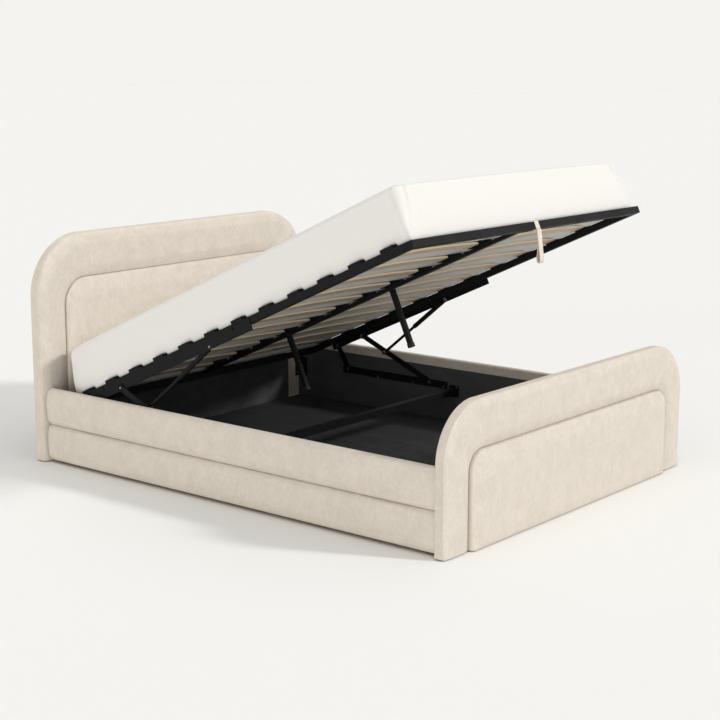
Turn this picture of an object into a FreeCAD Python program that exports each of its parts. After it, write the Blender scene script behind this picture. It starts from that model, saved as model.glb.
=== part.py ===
"""Upholstered storage bed with a lift-up slatted platform, modelled with the platform up.

Millimetres, +Z up. The origin is on the floor under the middle of the bed, the foot end is at -Y
and the head end at +Y. Left and right are as seen from the foot. The platform and what it carries
are drawn flat, with Y along the platform from its foot end and Z up from its underside, and are then
placed at the open tilt. The bed is worked out from the mattress outwards: platform, lift linkage,
storage box, rails, headboard and footboard.
"""
import FreeCAD
import Part
import Sketcher

import math
import os
import re

from FreeCAD import Placement, Rotation, Vector

DOC = FreeCAD.newDocument("StorageBed")
SHEETS = {}
PIECES = []
SAME_PLACE = 0.001

# Driving dimensions: name, millimetres or degrees, meaning
SIZES = (
    ("mattress_width", 1530, "mattress"),
    ("mattress_length", 2030, "mattress"),
    ("mattress_height", 205, "mattress at its edges"),
    ("mattress_crown", 8, "rise of the mattress top"),
    ("mattress_bulge", 10, "swell of the mattress sides"),
    ("mattress_corner", 28, "rounding of the mattress top edges"),
    ("mattress_end_draw", 14, "how far the mattress draws in at its ends"),
    ("mattress_clearance", 0.5, "mattress above the slats and their holders"),
    ("platform_foot_margin", 12, "platform past the mattress at the foot"),
    ("platform_head_margin", 18, "platform past the mattress at the head"),
    ("platform_side_margin", 39.5, "platform past the mattress at each side"),
    ("tube_section", 30, "square tube of the platform frame"),
    ("tube_wall", 1.5, "wall of the platform tubes"),
    ("centre_rail_height", 15, "height of the flat tube along the platform middle"),
    ("plug_flange", 3, "plate of a tube end plug"),
    ("plug_depth", 15, "end plug inside the tube"),
    ("slat_pitch", 165, "spacing of the slats"),
    ("slat_width", 53, "width of a slat"),
    ("slat_thickness", 8, "thickness of a slat"),
    ("slat_bow", 12, "rise of a slat at its middle"),
    ("slat_end_inset", 18, "slat end from the platform side"),
    ("slat_middle_gap", 5, "slat end from the platform middle"),
    ("slat_play", 0.6, "slat in its holder"),
    ("cap_floor", 2, "slat holder under the slat"),
    ("cap_wall", 5, "slat holder beside the slat"),
    ("cap_cover", 1.6, "side slat holder over the slat"),
    ("cap_setback", 2, "side slat holder from the platform side"),
    ("cap_side_gap", 1.5, "side slat holder from the mattress"),
    ("centre_cap_cover", 2, "centre slat holder over the slat"),
    ("centre_cap_reach", 46, "centre slat holder each side of the middle"),
    ("leg_section", 20, "support legs"),
    ("leg_wall", 1.5, "wall of the support legs"),
    ("foot_leg_place", 1268, "foot support leg from the platform head end"),
    ("head_leg_place", 620, "head support leg from the platform head end"),
    ("leg_foot_height", 18, "rubber foot of a support leg"),
    ("leg_foot_wall", 1.5, "rubber round a support leg"),
    ("leg_foot_sole", 4, "rubber under a support leg"),
    ("leg_floor_gap", 1, "support leg above the storage floor when closed"),
    ("strap_width", 28, "pull strap"),
    ("strap_thickness", 2.5, "pull strap"),
    ("strap_grip", 27, "strap band over and under the foot tube"),
    ("strap_drop", 136, "hanging loop of the pull strap"),
    ("strap_bend", 15, "outer radius at the bottom of the loop"),
    ("open_tilt", 24.34, "slope of the open platform, degrees"),
    ("open_head_height", 258, "floor to the open platform underside at its head end"),
    ("open_head_gap", 97.6, "headboard panel to the open platform head end"),
    ("closed_height", 276, "floor to the closed platform underside"),
    ("closed_head_gap", 38.5, "headboard panel to the closed platform head end"),
    ("closed_foot_gap", 26.5, "footboard inside to the closed platform foot end"),
    ("plate_thickness", 3, "steel plate of brackets and hinge plates"),
    ("rear_pivot_place", 175, "rear bracket pivot from the platform head end"),
    ("front_pivot_spacing", 174, "front bracket pivot from the rear one"),
    ("strut_pivot_spacing", 754, "strut bracket pivot from the rear one"),
    ("base_pivot_height", 208, "floor to the pivots on the base plates"),
    ("strut_pin_reach", 292, "strut pin from the base pivot, along the front link"),
    ("upper_bracket_low", 12, "upper bracket below its pivots"),
    ("upper_bracket_lap", 24, "upper bracket over the side of the platform tube"),
    ("upper_bracket_head", 32, "upper bracket past the rear pivot"),
    ("upper_bracket_foot", 258, "upper bracket past the strut pivot"),
    ("bracket_bolt_head", 58, "head bolt of an upper bracket from the rear pivot"),
    ("bracket_bolt_foot", 152, "foot bolt of an upper bracket from the strut pivot"),
    ("bracket_bolt_height", 14, "bolts of an upper bracket above the underside"),
    ("link_width", 26, "width of the links"),
    ("link_thickness", 4, "thickness of the links"),
    ("link_gap", 1.5, "link from the upper bracket"),
    ("link_plate_gap", 1, "link from the hinge base plate"),
    ("pin_radius", 5, "pivot pins"),
    ("pin_head_radius", 9, "heads of the pivot pins"),
    ("pin_head_height", 4, "height of the pivot pin heads"),
    ("running_play", 0.06, "pin in its hole, on the radius"),
    ("open_pivot_play", 7, "front bracket pin in its link hole, on the radius"),
    ("open_pivot_wall", 6, "link round that hole"),
    ("face_play", 0.5, "clearance between plates that slide past each other"),
    ("strut_radius", 11, "strut cylinder"),
    ("strut_headroom", 3, "strut cylinder below the platform tube"),
    ("strut_side_gap", 0.5, "strut cylinder from the upper bracket"),
    ("strut_eye_width", 10, "width of a strut eye"),
    ("strut_eye_radius", 10, "radius of a strut eye"),
    ("strut_neck_length", 22, "neck between strut pivot and cylinder"),
    ("strut_neck_step", 0.6, "necks inside the faces of a strut eye"),
    ("strut_body_length", 220, "strut cylinder"),
    ("rod_radius", 7, "strut rod"),
    ("rod_overlap", 60, "open strut rod inside its cylinder"),
    ("rod_stroke", 90, "room for the rod to slide in"),
    ("rod_fitting_radius", 7.6, "end fitting of a strut rod"),
    ("rod_fitting_length", 12, "end fitting of a strut rod"),
    ("rod_neck_length", 24, "neck between rod pin and end fitting"),
    ("hinge_plate_low", 24, "hinge base plate below the base pivots"),
    ("hinge_plate_height", 36, "height of a hinge base plate"),
    ("hinge_plate_head", 36, "hinge base plate past the rear pivot"),
    ("hinge_plate_foot", 104, "hinge base plate past the front pivot"),
    ("hinge_screw_drop", 16, "screws below the base pivots"),
    ("hinge_screw_end", 22, "first screw from the foot end of a hinge base plate"),
    ("hinge_screw_front", 104, "second screw from the front base pivot"),
    ("hinge_screw_rear", 191, "third screw from the rear base pivot"),
    ("lining_thickness", 3, "black lining boards"),
    ("head_lining_margin", 2.5, "head lining inside the edge of the headboard panel"),
    ("head_lining_top", 240, "floor to the top of the head lining"),
    ("floor_lift", 20, "floor to the underside of the storage floor"),
    ("floor_thickness", 10, "storage floor boards"),
    ("floor_fit", 0.5, "storage floor edge from what surrounds it"),
    ("foot_floor_length", 907, "length of the foot storage floor board"),
    ("ledger_width", 20, "side ledgers under the storage floor"),
    ("ledger_height", 16, "height of the side ledgers"),
    ("batten_width", 60, "centre batten under the storage floor"),
    ("support_setback", 60, "ledger and batten ends from the ends of the box"),
    ("bracket_leg", 60, "leg of a corner bracket on its rail"),
    ("bracket_end_leg", 26, "leg of a corner bracket on its end board"),
    ("bracket_end_screw", 18, "screw of that leg above its underside"),
    ("bracket_height", 100, "height of a corner bracket"),
    ("bracket_bottom", 130, "floor to the underside of a corner bracket"),
    ("screw_radius", 3, "shank of a screw"),
    ("screw_grip", 14, "shank of a screw beyond its plate"),
    ("screw_hole_play", 0.5, "hole round a screw, on the radius"),
    ("screw_head_radius", 7, "head of a screw"),
    ("screw_head_height", 4, "height of a screw head"),
    ("spreader_section", 30, "square tube across the box"),
    ("spreader_wall", 2, "wall of the tube across the box"),
    ("spreader_place", 10.8, "end plate of the tube across the box from the hinge base plates"),
    ("spreader_height", 180, "floor to the middle of the tube across the box"),
    ("spreader_plate", 56, "end plate of the tube across the box"),
    ("spreader_screw_edge", 7, "screw from the edges of that end plate"),
    ("board_thickness", 18, "plywood cores"),
    ("cover_wrap", 8, "padding round the edges of a core"),
    ("back_cloth", 3, "stapled cloth on the hidden face of a core"),
    ("rail_top", 333, "floor to the top of a side rail"),
    ("rail_bottom", 11, "floor to the underside of a side rail"),
    ("rail_seam", 172, "floor to the seam between the two channels"),
    ("rail_inset", 4, "rail face inside the bed width"),
    ("rail_pad", 28, "padding outside a rail core"),
    ("rail_top_pad", 8, "padding over a rail core"),
    ("rail_core_lift", 3, "rail core above the rail underside"),
    ("rail_flap", 45, "cloth turned down inside the rail"),
    ("channel_round", 17, "rounding of a padded channel"),
    ("flap_round", 10, "rounding of the inner top edge of a rail"),
    ("channel_end", 40, "length over which a channel draws in at its ends"),
    ("channel_draw", 6, "how far a channel draws in at its ends"),
    ("headboard_height", 1000, "floor to the top of the headboard"),
    ("headboard_depth", 65, "headboard from border face to back"),
    ("headboard_corner", 270, "radius of the headboard top corners"),
    ("headboard_border_side", 150, "width of the headboard border at the sides"),
    ("headboard_border_top", 197, "width of the headboard border at the top"),
    ("headboard_panel_corner", 115, "radius of the headboard panel top corners"),
    ("headboard_panel_proud", 14, "headboard panel in front of the border"),
    ("footboard_height", 560, "floor to the top of the footboard"),
    ("footboard_depth", 51, "footboard from border face to inside cloth"),
    ("footboard_corner", 220, "radius of the footboard top corners"),
    ("footboard_border_side", 155, "width of the footboard border at the sides"),
    ("footboard_border_top", 187, "width of the footboard border at the top"),
    ("footboard_panel_corner", 75, "radius of the footboard panel top corners"),
    ("footboard_panel_proud", 18, "footboard panel in front of the border"),
    ("edge_round", 16, "soft outer edge of the borders"),
    ("panel_round", 12, "soft edge of the raised panels"),
    ("seam_gap", 0.5, "seam between a border and its raised panel"),
    ("glide_height", 5, "glides under the headboard and footboard"),
    ("glide_radius", 14, "radius of a glide"),
    ("glide_inset", 120, "glide centre from the side of the bed"),
)


def fill_sheet(label, rows):
    """Write rows of name, number and meaning to a new sheet, and give each number its name."""
    sheet = DOC.addObject("Spreadsheet::Sheet", label)
    for row, (name, number, meaning) in enumerate(rows, start=1):
        cell = "B%d" % row
        sheet.set("A%d" % row, meaning)
        sheet.set(cell, repr(number))
        sheet.setAlias(cell, name)
        SHEETS[name] = sheet
    DOC.recompute()
    return sheet


def turned(along, across, angle):
    """A flat offset turned by an angle in the Y and Z plane."""
    cosine = math.cos(angle)
    sine = math.sin(angle)
    return along * cosine - across * sine, along * sine + across * cosine


def pivot_at_height(open_point, closed_point, height):
    """The point at a height that is equally far from the open and the closed place of a pivot."""
    middle_y = (open_point[0] + closed_point[0]) / 2
    middle_z = (open_point[1] + closed_point[1]) / 2
    run = closed_point[0] - open_point[0]
    rise = closed_point[1] - open_point[1]
    return middle_y - (height - middle_z) * rise / run, height


def distance(start, end):
    """Length between two points of the Y and Z plane."""
    return math.hypot(end[0] - start[0], end[1] - start[1])


def slope(start, end):
    """Angle in degrees from +Y of the line between two points of the Y and Z plane."""
    return math.degrees(math.atan2(end[1] - start[1], end[0] - start[0]))


def rise_into_slat(depth, half_span):
    """How far a bowed slat rises between its end and a depth from its end."""
    return size.slat_bow * (1 - (1 - depth / half_span) ** 2)


size = fill_sheet("Sizes", SIZES)

# Widths, from the middle of the bed outwards
half_mattress = size.mattress_width / 2
half_platform = half_mattress + size.platform_side_margin
bracket_outside = half_platform + size.plate_thickness
link_inside = bracket_outside + size.link_gap
link_outside = link_inside + size.link_thickness
hinge_plate_inside = link_outside + size.link_plate_gap
box_half = hinge_plate_inside + size.plate_thickness
core_inside = box_half + size.lining_thickness
core_outside = core_inside + size.board_thickness
rail_outside = core_outside + size.rail_pad
half_bed = rail_outside + size.rail_inset
strut_middle = half_platform - size.strut_side_gap - size.strut_radius

# Lengths, with the bed's middle at zero
platform_length = size.platform_foot_margin + size.mattress_length + size.platform_head_margin
closed_space = size.closed_foot_gap + platform_length + size.closed_head_gap
box_length = closed_space + size.headboard_panel_proud
bed_length = size.footboard_panel_proud + size.footboard_depth + box_length + size.headboard_depth
front_y = -bed_length / 2
back_y = bed_length / 2
footboard_face = front_y + size.footboard_panel_proud
footboard_inside = footboard_face + size.footboard_depth
headboard_face = back_y - size.headboard_depth
headboard_panel_face = headboard_face - size.headboard_panel_proud
foot_lining_face = footboard_inside + size.lining_thickness
head_core_face = back_y - size.back_cloth - size.board_thickness
foot_core_face = footboard_inside - size.back_cloth - size.board_thickness
floor_joint = footboard_inside + size.floor_fit + size.foot_floor_length
floor_top = size.floor_lift + size.floor_thickness
lining_top = size.rail_top - size.rail_flap

# Centre rail, slats and their holders, up from the platform underside
centre_rail_low = size.tube_section - size.centre_rail_height
slat_count = int(platform_length // size.slat_pitch)
slat_start = (platform_length - (slat_count - 1) * size.slat_pitch) / 2
slat_outer = half_platform - size.slat_end_inset
half_slat = (slat_outer - size.slat_middle_gap) / 2
slat_seat = size.tube_section + size.cap_floor
cap_reach = size.platform_side_margin - size.cap_setback - size.cap_side_gap
cap_start = half_mattress + size.cap_side_gap
side_pocket = slat_outer - cap_start
centre_pocket = size.centre_cap_reach - size.slat_middle_gap
side_pocket_height = size.slat_thickness + rise_into_slat(side_pocket, half_slat) + size.slat_play
centre_pocket_height = size.slat_thickness + rise_into_slat(centre_pocket, half_slat) + size.slat_play
centre_cap_top = slat_seat + centre_pocket_height + size.centre_cap_cover
mattress_low = centre_cap_top + size.mattress_clearance
mattress_arch = slat_seat + size.slat_thickness + size.slat_bow + size.mattress_clearance - mattress_low

# The linkage, as Y and Z in the bed's frame
tilt = math.radians(size.open_tilt)
pivot_drop = size.strut_radius + size.strut_headroom
rear_along = platform_length - size.rear_pivot_place
front_along = rear_along - size.front_pivot_spacing
strut_along = rear_along - size.strut_pivot_spacing
open_rise = turned(platform_length, 0, -tilt)
open_foot = (headboard_panel_face - size.open_head_gap - open_rise[0], size.open_head_height - open_rise[1])
closed_foot = (footboard_inside + size.closed_foot_gap, size.closed_height)


def on_platform(along, above):
    """Y and Z of a point of the open platform."""
    offset = turned(along, above, -tilt)
    return open_foot[0] + offset[0], open_foot[1] + offset[1]


def on_closed_platform(along, above):
    """Y and Z of a point of the closed platform."""
    return closed_foot[0] + along, closed_foot[1] + above


rear_top = on_platform(rear_along, -pivot_drop)
front_top = on_platform(front_along, -pivot_drop)
strut_top = on_platform(strut_along, -pivot_drop)
rear_base = pivot_at_height(rear_top, on_closed_platform(rear_along, -pivot_drop), size.base_pivot_height)
front_base = pivot_at_height(front_top, on_closed_platform(front_along, -pivot_drop), size.base_pivot_height)
strut_share = size.strut_pin_reach / distance(front_base, front_top)
strut_pin = tuple(low + (high - low) * strut_share for low, high in zip(front_base, front_top))
strut_body_end = size.strut_neck_length + size.strut_body_length
hinge_plate_start = front_base[0] - size.hinge_plate_foot
spreader_y = hinge_plate_start - size.spreader_place - size.spreader_plate / 2
PLATFORM = Placement(Vector(0, *open_foot), Rotation(Vector(1, 0, 0), -size.open_tilt))

# Lengths that follow from the driving dimensions: name, millimetres, meaning
PLACES = (
    ("half_width", half_bed, "half of the bed width"),
    ("core_half", half_bed - size.cover_wrap, "half width of the headboard and footboard cores"),
    ("head_cover_depth", size.headboard_depth - size.back_cloth, "headboard border cover"),
    ("head_core_top", size.headboard_height - size.cover_wrap, "top of the headboard core"),
    ("head_core_corner", size.headboard_corner - size.cover_wrap, "corner of the headboard core"),
    ("head_opening_half", half_bed - size.headboard_border_side, "half width inside the headboard border"),
    ("head_opening_top", size.headboard_height - size.headboard_border_top, "top inside that border"),
    ("foot_cover_depth", size.footboard_depth - size.back_cloth, "footboard border cover"),
    ("foot_core_top", size.footboard_height - size.cover_wrap, "top of the footboard core"),
    ("foot_core_corner", size.footboard_corner - size.cover_wrap, "corner of the footboard core"),
    ("foot_opening_half", half_bed - size.footboard_border_side, "half width inside the footboard border"),
    ("foot_opening_top", size.footboard_height - size.footboard_border_top, "top inside that border"),
    ("head_panel_half", half_bed - size.headboard_border_side - size.seam_gap, "headboard panel, half width"),
    ("head_panel_top", size.headboard_height - size.headboard_border_top - size.seam_gap, "its top"),
    ("head_panel_corner", size.headboard_panel_corner - size.seam_gap, "its top corners"),
    ("head_panel_depth", head_core_face - headboard_panel_face, "its depth"),
    ("foot_panel_half", half_bed - size.footboard_border_side - size.seam_gap, "footboard panel, half width"),
    ("foot_panel_top", size.footboard_height - size.footboard_border_top - size.seam_gap, "its top"),
    ("foot_panel_corner", size.footboard_panel_corner - size.seam_gap, "its top corners"),
    ("foot_panel_depth", foot_core_face - front_y, "its depth"),
    ("rail_length", box_length, "rail between footboard and headboard"),
    ("rail_core_height", size.rail_top - size.rail_top_pad - size.rail_bottom - size.rail_core_lift,
     "height of a rail core"),
    ("rail_lining_height", lining_top - size.floor_lift, "height of a rail lining"),
    ("box_width", 2 * box_half, "clear width of the box"),
    ("head_lining_width", 2 * (half_bed - size.headboard_border_side - size.head_lining_margin),
     "width of the head lining"),
    ("head_lining_height", size.head_lining_top - floor_top, "height of the head lining"),
    ("foot_lining_height", lining_top - floor_top, "height of the foot lining"),
    ("floor_width", 2 * (box_half - size.floor_fit), "width of the storage floor"),
    ("head_floor_length", headboard_panel_face - size.floor_fit - floor_joint, "head storage floor board"),
    ("support_length", headboard_panel_face - footboard_inside - 2 * size.support_setback,
     "ledgers and batten"),
    ("spreader_length", 2 * hinge_plate_inside, "tube between its end plates"),
    ("hinge_plate_length", rear_base[0] + size.hinge_plate_head - hinge_plate_start, "hinge base plate"),
    ("base_pin_length", hinge_plate_inside - link_inside + size.face_play, "base pivot pin under its head"),
    ("cross_tube_length", 2 * (half_platform - size.plug_flange), "foot and head tube"),
    ("long_tube_length", platform_length - 2 * size.tube_section, "side tubes and centre rail"),
    ("leg_length", size.closed_height + centre_rail_low - floor_top - size.leg_floor_gap - size.leg_foot_sole,
     "support leg"),
    ("upper_bracket_length", size.upper_bracket_head + size.strut_pivot_spacing + size.upper_bracket_foot,
     "length of an upper bracket"),
    ("upper_bracket_height", size.upper_bracket_low + pivot_drop + size.upper_bracket_lap,
     "height of an upper bracket"),
    ("link_pin_length", link_outside + size.face_play - half_platform, "pin through bracket and link"),
    ("strut_pin_length", bracket_outside - strut_middle + size.strut_eye_width / 2 + size.face_play,
     "pin through bracket and strut eye"),
    ("rear_link_length", distance(rear_base, rear_top), "rear link between its pivots"),
    ("front_link_length", distance(front_base, front_top), "front link between its pivots"),
    ("strut_length", distance(strut_top, strut_pin), "open strut between its pins"),
    ("strut_bore_depth", size.rod_overlap + size.rod_stroke, "bore of the strut cylinder"),
    ("rod_length", distance(strut_top, strut_pin) - size.rod_neck_length - strut_body_end + size.rod_overlap,
     "strut rod to its neck"),
    ("rod_pin_length", link_inside - strut_middle + size.strut_eye_width / 2, "pin of the rod eye"),
    ("strap_front", size.tube_section + 2 * size.strap_thickness, "strap band in front of the tube"),
)
length = fill_sheet("Places", PLACES)


def number_of(name):
    """The number that the sheets hold under a name."""
    return getattr(SHEETS[name], name)


def tied(text):
    """The expression of a text that uses the sheets' names."""
    return re.sub(r"[a-z][a-z_]*", lambda word: SHEETS[word.group(0)].Name + "." + word.group(0), text)


def finish(made, name, place=None):
    """Name a piece, set its place and put it on the list of pieces."""
    made.Label = name
    if place is not None:
        made.Placement = place
    PIECES.append(made)
    return made


def block(name, corner, lengths):
    """A box from its low corner, with its three lengths tied to the sheets."""
    made = DOC.addObject("Part::Box", name)
    for key, text in zip(("Length", "Width", "Height"), lengths):
        made.setExpression(key, tied(text))
    made.Placement = Placement(Vector(*corner), Rotation())
    return made


def round_bar(name, start, direction, radius, long):
    """A cylinder from its start point along a direction, with its sizes tied to the sheets."""
    made = DOC.addObject("Part::Cylinder", name)
    made.setExpression("Radius", tied(radius))
    made.setExpression("Height", tied(long))
    made.Placement = Placement(Vector(*start), Rotation(Vector(0, 0, 1), Vector(*direction)))
    return made


def together(name, members):
    """Separate solids kept as one group."""
    made = DOC.addObject("Part::Compound", name)
    made.Links = members
    return made


def joined(name, members):
    """Solids fused into one."""
    made = DOC.addObject("Part::MultiFuse", name)
    made.Shapes = members
    return made


def cut_from(name, base, tools):
    """A solid with the tools cut out of it."""
    made = DOC.addObject("Part::Cut", name)
    made.Base = base
    made.Tool = tools[0] if len(tools) == 1 else together(name + "_tools", tools)
    return made


def mirrored(name, source):
    """The mirror image of a piece in the plane X zero."""
    made = DOC.addObject("Part::Mirroring", name)
    made.Source = source
    made.Normal = Vector(1, 0, 0)
    made.Base = Vector(0, 0, 0)
    return made


def arch(name, outline, depth, edge=None):
    """An upright board with two round top corners, its front face at Y zero and its depth along +Y.

    The outline is four names of the sheets: half width, bottom, top and corner radius. With an edge,
    the front edges are rounded by that much.
    """
    body = DOC.addObject("PartDesign::Body", name)
    plane = next(item for item in body.Origin.OriginFeatures if item.Role == "XZ_Plane")
    sketch = body.newObject("Sketcher::SketchObject", name + "_outline")
    sketch.AttachmentSupport = [(plane, "")]
    sketch.MapMode = "FlatFace"
    half, low, high, radius = (number_of(key) for key in outline)
    inner = half - radius
    shoulder = high - radius

    def line(start, end):
        return Part.LineSegment(Vector(*start, 0), Vector(*end, 0))

    def quarter(centre, start):
        circle = Part.Circle(Vector(*centre, 0), Vector(0, 0, 1), radius)
        return Part.ArcOfCircle(circle, start, start + math.pi / 2)

    for shape in (
        line((-half, low), (half, low)),
        line((half, low), (half, shoulder)),
        quarter((inner, shoulder), 0),
        line((inner, high), (-inner, high)),
        quarter((-inner, shoulder), math.pi / 2),
        line((-half, shoulder), (-half, low)),
    ):
        sketch.addGeometry(shape, False)
    for rule in (
        ("Coincident", 0, 2, 1, 1),
        ("Tangent", 1, 2, 2, 1),
        ("Tangent", 2, 2, 3, 1),
        ("Tangent", 3, 2, 4, 1),
        ("Tangent", 4, 2, 5, 1),
        ("Coincident", 5, 2, 0, 1),
        ("Vertical", 1),
        ("Vertical", 5),
        ("Horizontal", 3),
        ("Equal", 2, 4),
        ("Symmetric", 0, 1, 0, 2, -2),
    ):
        sketch.addConstraint(Sketcher.Constraint(*rule))
    measures = (
        ("width", ("DistanceX", 0, 1, 0, 2, 2 * half), "2 * " + outline[0]),
        ("bottom", ("DistanceY", -1, 1, 0, 1, low), outline[1]),
        ("top", ("DistanceY", -1, 1, 3, 1, high), outline[2]),
        ("corner", ("Radius", 2, radius), outline[3]),
    )
    for label, rule, text in measures:
        index = sketch.addConstraint(Sketcher.Constraint(*rule))
        sketch.renameConstraint(index, label)
        sketch.setExpression("Constraints." + label, tied(text))
    pad = body.newObject("PartDesign::Pad", name + "_pad")
    pad.Profile = sketch
    pad.Reversed = True
    pad.setExpression("Length", tied(depth))
    DOC.recompute()
    if edge is not None:
        soften = body.newObject("PartDesign::Fillet", name + "_edge")
        soften.Base = (pad, front_edges(pad.Shape, low))
        soften.setExpression("Radius", tied(edge))
    return body


def front_edges(shape, low):
    """Names of the edges in the plane Y zero, apart from the one along the bottom."""
    names = []
    for number, edge in enumerate(shape.Edges, start=1):
        box = edge.BoundBox
        if box.YMax < SAME_PLACE and box.ZMax > low + SAME_PLACE:
            names.append("Edge%d" % number)
    return names


def at_y(place_y):
    """The placement of an upright board whose front face is at a Y."""
    return Placement(Vector(0, place_y, 0), Rotation())


def make_end_board(end, face, core_face, panel_face, cloth_face):
    """Core, padded border with its arch opening, raised panel and stapled cloth of one end of the bed."""
    tag = end[:4]
    board_outline = ("half_width", "glide_height", end + "_height", end + "_corner")
    core_outline = ("core_half", "glide_height", tag + "_core_top", tag + "_core_corner")
    opening_outline = (tag + "_opening_half", "glide_height", tag + "_opening_top", end + "_panel_corner")
    panel_outline = (tag + "_panel_half", "glide_height", tag + "_panel_top", tag + "_panel_corner")
    cover_depth = tag + "_cover_depth"
    outer = arch(end + "_outer", board_outline, cover_depth, "edge_round")
    opening = arch(end + "_opening", opening_outline, cover_depth)
    pocket = arch(end + "_pocket", core_outline, "board_thickness")
    pocket.Placement = at_y(core_face - face)
    border = cut_from(end + "_border", outer, [opening, pocket])
    finish(border, end + "_border_cover", at_y(face))
    finish(arch(end + "_core", core_outline, "board_thickness"), end + "_board", at_y(core_face))
    panel = arch(end + "_panel", panel_outline, tag + "_panel_depth", "panel_round")
    finish(panel, end + ("_inset_panel" if tag == "head" else "_raised_panel"), at_y(panel_face))
    cloth = arch(end + "_cloth", board_outline, "back_cloth")
    finish(cloth, end + ("_back_cover" if tag == "head" else "_inner_cover"), at_y(cloth_face))


def wire_of(points, arcs):
    """A closed wire through points, where arcs gives the middle point of the span after a corner."""
    edges = []
    for number, start in enumerate(points):
        end = points[(number + 1) % len(points)]
        if number in arcs:
            edges.append(Part.Arc(start, arcs[number], end).toShape())
        else:
            edges.append(Part.LineSegment(start, end).toShape())
    return Part.Wire(edges)


def section_at(along, corners, middles):
    """A wire at a Y from corners and arc middles given as X and Z."""
    points = [Vector(across, along, height) for across, height in corners]
    arcs = {number: Vector(across, along, height) for number, (across, height) in middles.items()}
    return wire_of(points, arcs)


def drawn_in(section, start, end, reach, draw):
    """A solid lofted along Y whose section draws in towards both ends on a quarter ellipse."""
    steps = []
    for share in (0.0, 0.1, 0.35, 1.0):
        steps.append((share * reach, draw * (1 - math.sqrt(1 - (1 - share) ** 2))))
    wires = [section(start + step, inwards) for step, inwards in steps]
    wires += [section(end - step, inwards) for step, inwards in reversed(steps)]
    made = DOC.addObject("Part::Feature", section.__name__)
    made.Shape = Part.makeLoft(wires, True, True)
    return made


def round_middle(radius):
    """How far the middle of a rounded corner lies inside the corner, each way."""
    return radius * (1 - math.sqrt(0.5))


def upper_channel(along, draw):
    """Section of the upper rail channel: over the core, down inside it and rounded into the seam.

    Where the channel draws in, its outer edges come in and the inner top edge stays.
    """
    outside = rail_outside - draw
    top = size.rail_top
    outer_top = top - draw
    core_top = top - size.rail_top_pad
    soft = size.channel_round
    inner = size.flap_round
    seam = size.rail_seam + draw
    bite = round_middle(soft)
    inner_bite = round_middle(inner)
    corners = [(box_half, lining_top), (box_half, top - inner), (box_half + inner, top),
               (outside - soft, outer_top), (outside, outer_top - soft), (outside, seam + soft),
               (outside - soft, seam), (core_outside, seam), (core_outside, core_top),
               (core_inside, core_top), (core_inside, lining_top)]
    middles = {1: (box_half + inner_bite, top - inner_bite), 3: (outside - bite, outer_top - bite),
               5: (outside - bite, seam + bite)}
    return section_at(along, corners, middles)


def lower_channel(along, draw):
    """Section of the lower rail channel, rounded into the seam and at the bottom."""
    outside = rail_outside - draw
    soft = size.channel_round
    seam = size.rail_seam - draw
    low = size.rail_bottom + draw
    bite = round_middle(soft)
    corners = [(core_outside, seam), (outside - soft, seam), (outside, seam - soft),
               (outside, low + soft), (outside - soft, low), (core_outside, low)]
    middles = {1: (outside - bite, seam - bite), 3: (outside - bite, low + bite)}
    return section_at(along, corners, middles)


def make_rails():
    """Two side rails: core, two padded channels and the black lining, the left one mirrored."""
    core = block("rail_core", (core_inside, footboard_inside, size.rail_bottom + size.rail_core_lift),
                 ("board_thickness", "rail_length", "rail_core_height"))
    lining = block("rail_liner", (box_half, footboard_inside, size.floor_lift),
                   ("lining_thickness", "rail_length", "rail_lining_height"))
    ends = (footboard_inside, headboard_face, size.channel_end, size.channel_draw)
    upper = drawn_in(upper_channel, *ends)
    lower = drawn_in(lower_channel, *ends)
    for made, name in ((core, "rail_board"), (lining, "rail_lining"), (upper, "rail_upper_pad"),
                       (lower, "rail_lower_pad")):
        finish(made, "right_" + name)
        finish(mirrored(name + "_mirrored", made), "left_" + name)


def make_linings_and_floor():
    """End linings, the two storage floor boards and what holds them up."""
    head = block("head_liner", (-length.head_lining_width / 2, headboard_panel_face - size.lining_thickness,
                                floor_top),
                 ("head_lining_width", "lining_thickness", "head_lining_height"))
    finish(head, "head_lining_panel")
    foot = block("foot_liner", (-box_half, footboard_inside, floor_top),
                 ("box_width", "lining_thickness", "foot_lining_height"))
    finish(foot, "foot_lining_panel")
    floor_side = size.floor_fit - box_half
    finish(block("floor_foot", (floor_side, footboard_inside + size.floor_fit, size.floor_lift),
                 ("floor_width", "foot_floor_length", "floor_thickness")), "floor_panel_foot")
    finish(block("floor_head", (floor_side, floor_joint, size.floor_lift),
                 ("floor_width", "head_floor_length", "floor_thickness")), "floor_panel_head")
    support_start = footboard_inside + size.support_setback
    ledgers = [block("ledger_" + side, (corner, support_start, size.floor_lift - size.ledger_height),
                     ("ledger_width", "support_length", "ledger_height"))
               for side, corner in (("left", -core_inside), ("right", core_inside - size.ledger_width))]
    finish(together("ledgers", ledgers), "floor_ledgers")
    finish(block("batten", (-size.batten_width / 2, support_start, 0),
                 ("batten_width", "support_length", "floor_lift")), "centre_floor_batten")


def screw(name, face, direction):
    """A screw whose head sits on a face and whose shank runs along a direction into it."""
    under_head = Vector(*face)
    head_start = under_head - Vector(*direction) * size.screw_head_height
    head = round_bar(name + "_head", tuple(head_start), direction, "screw_head_radius", "screw_head_height")
    shank = round_bar(name + "_shank", face, direction, "screw_radius", "plate_thickness + screw_grip")
    return joined(name, [head, shank])


def screw_hole(name, face, direction):
    """The hole for a screw through one steel plate."""
    return round_bar(name, face, direction, "screw_radius + screw_hole_play", "plate_thickness")


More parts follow.
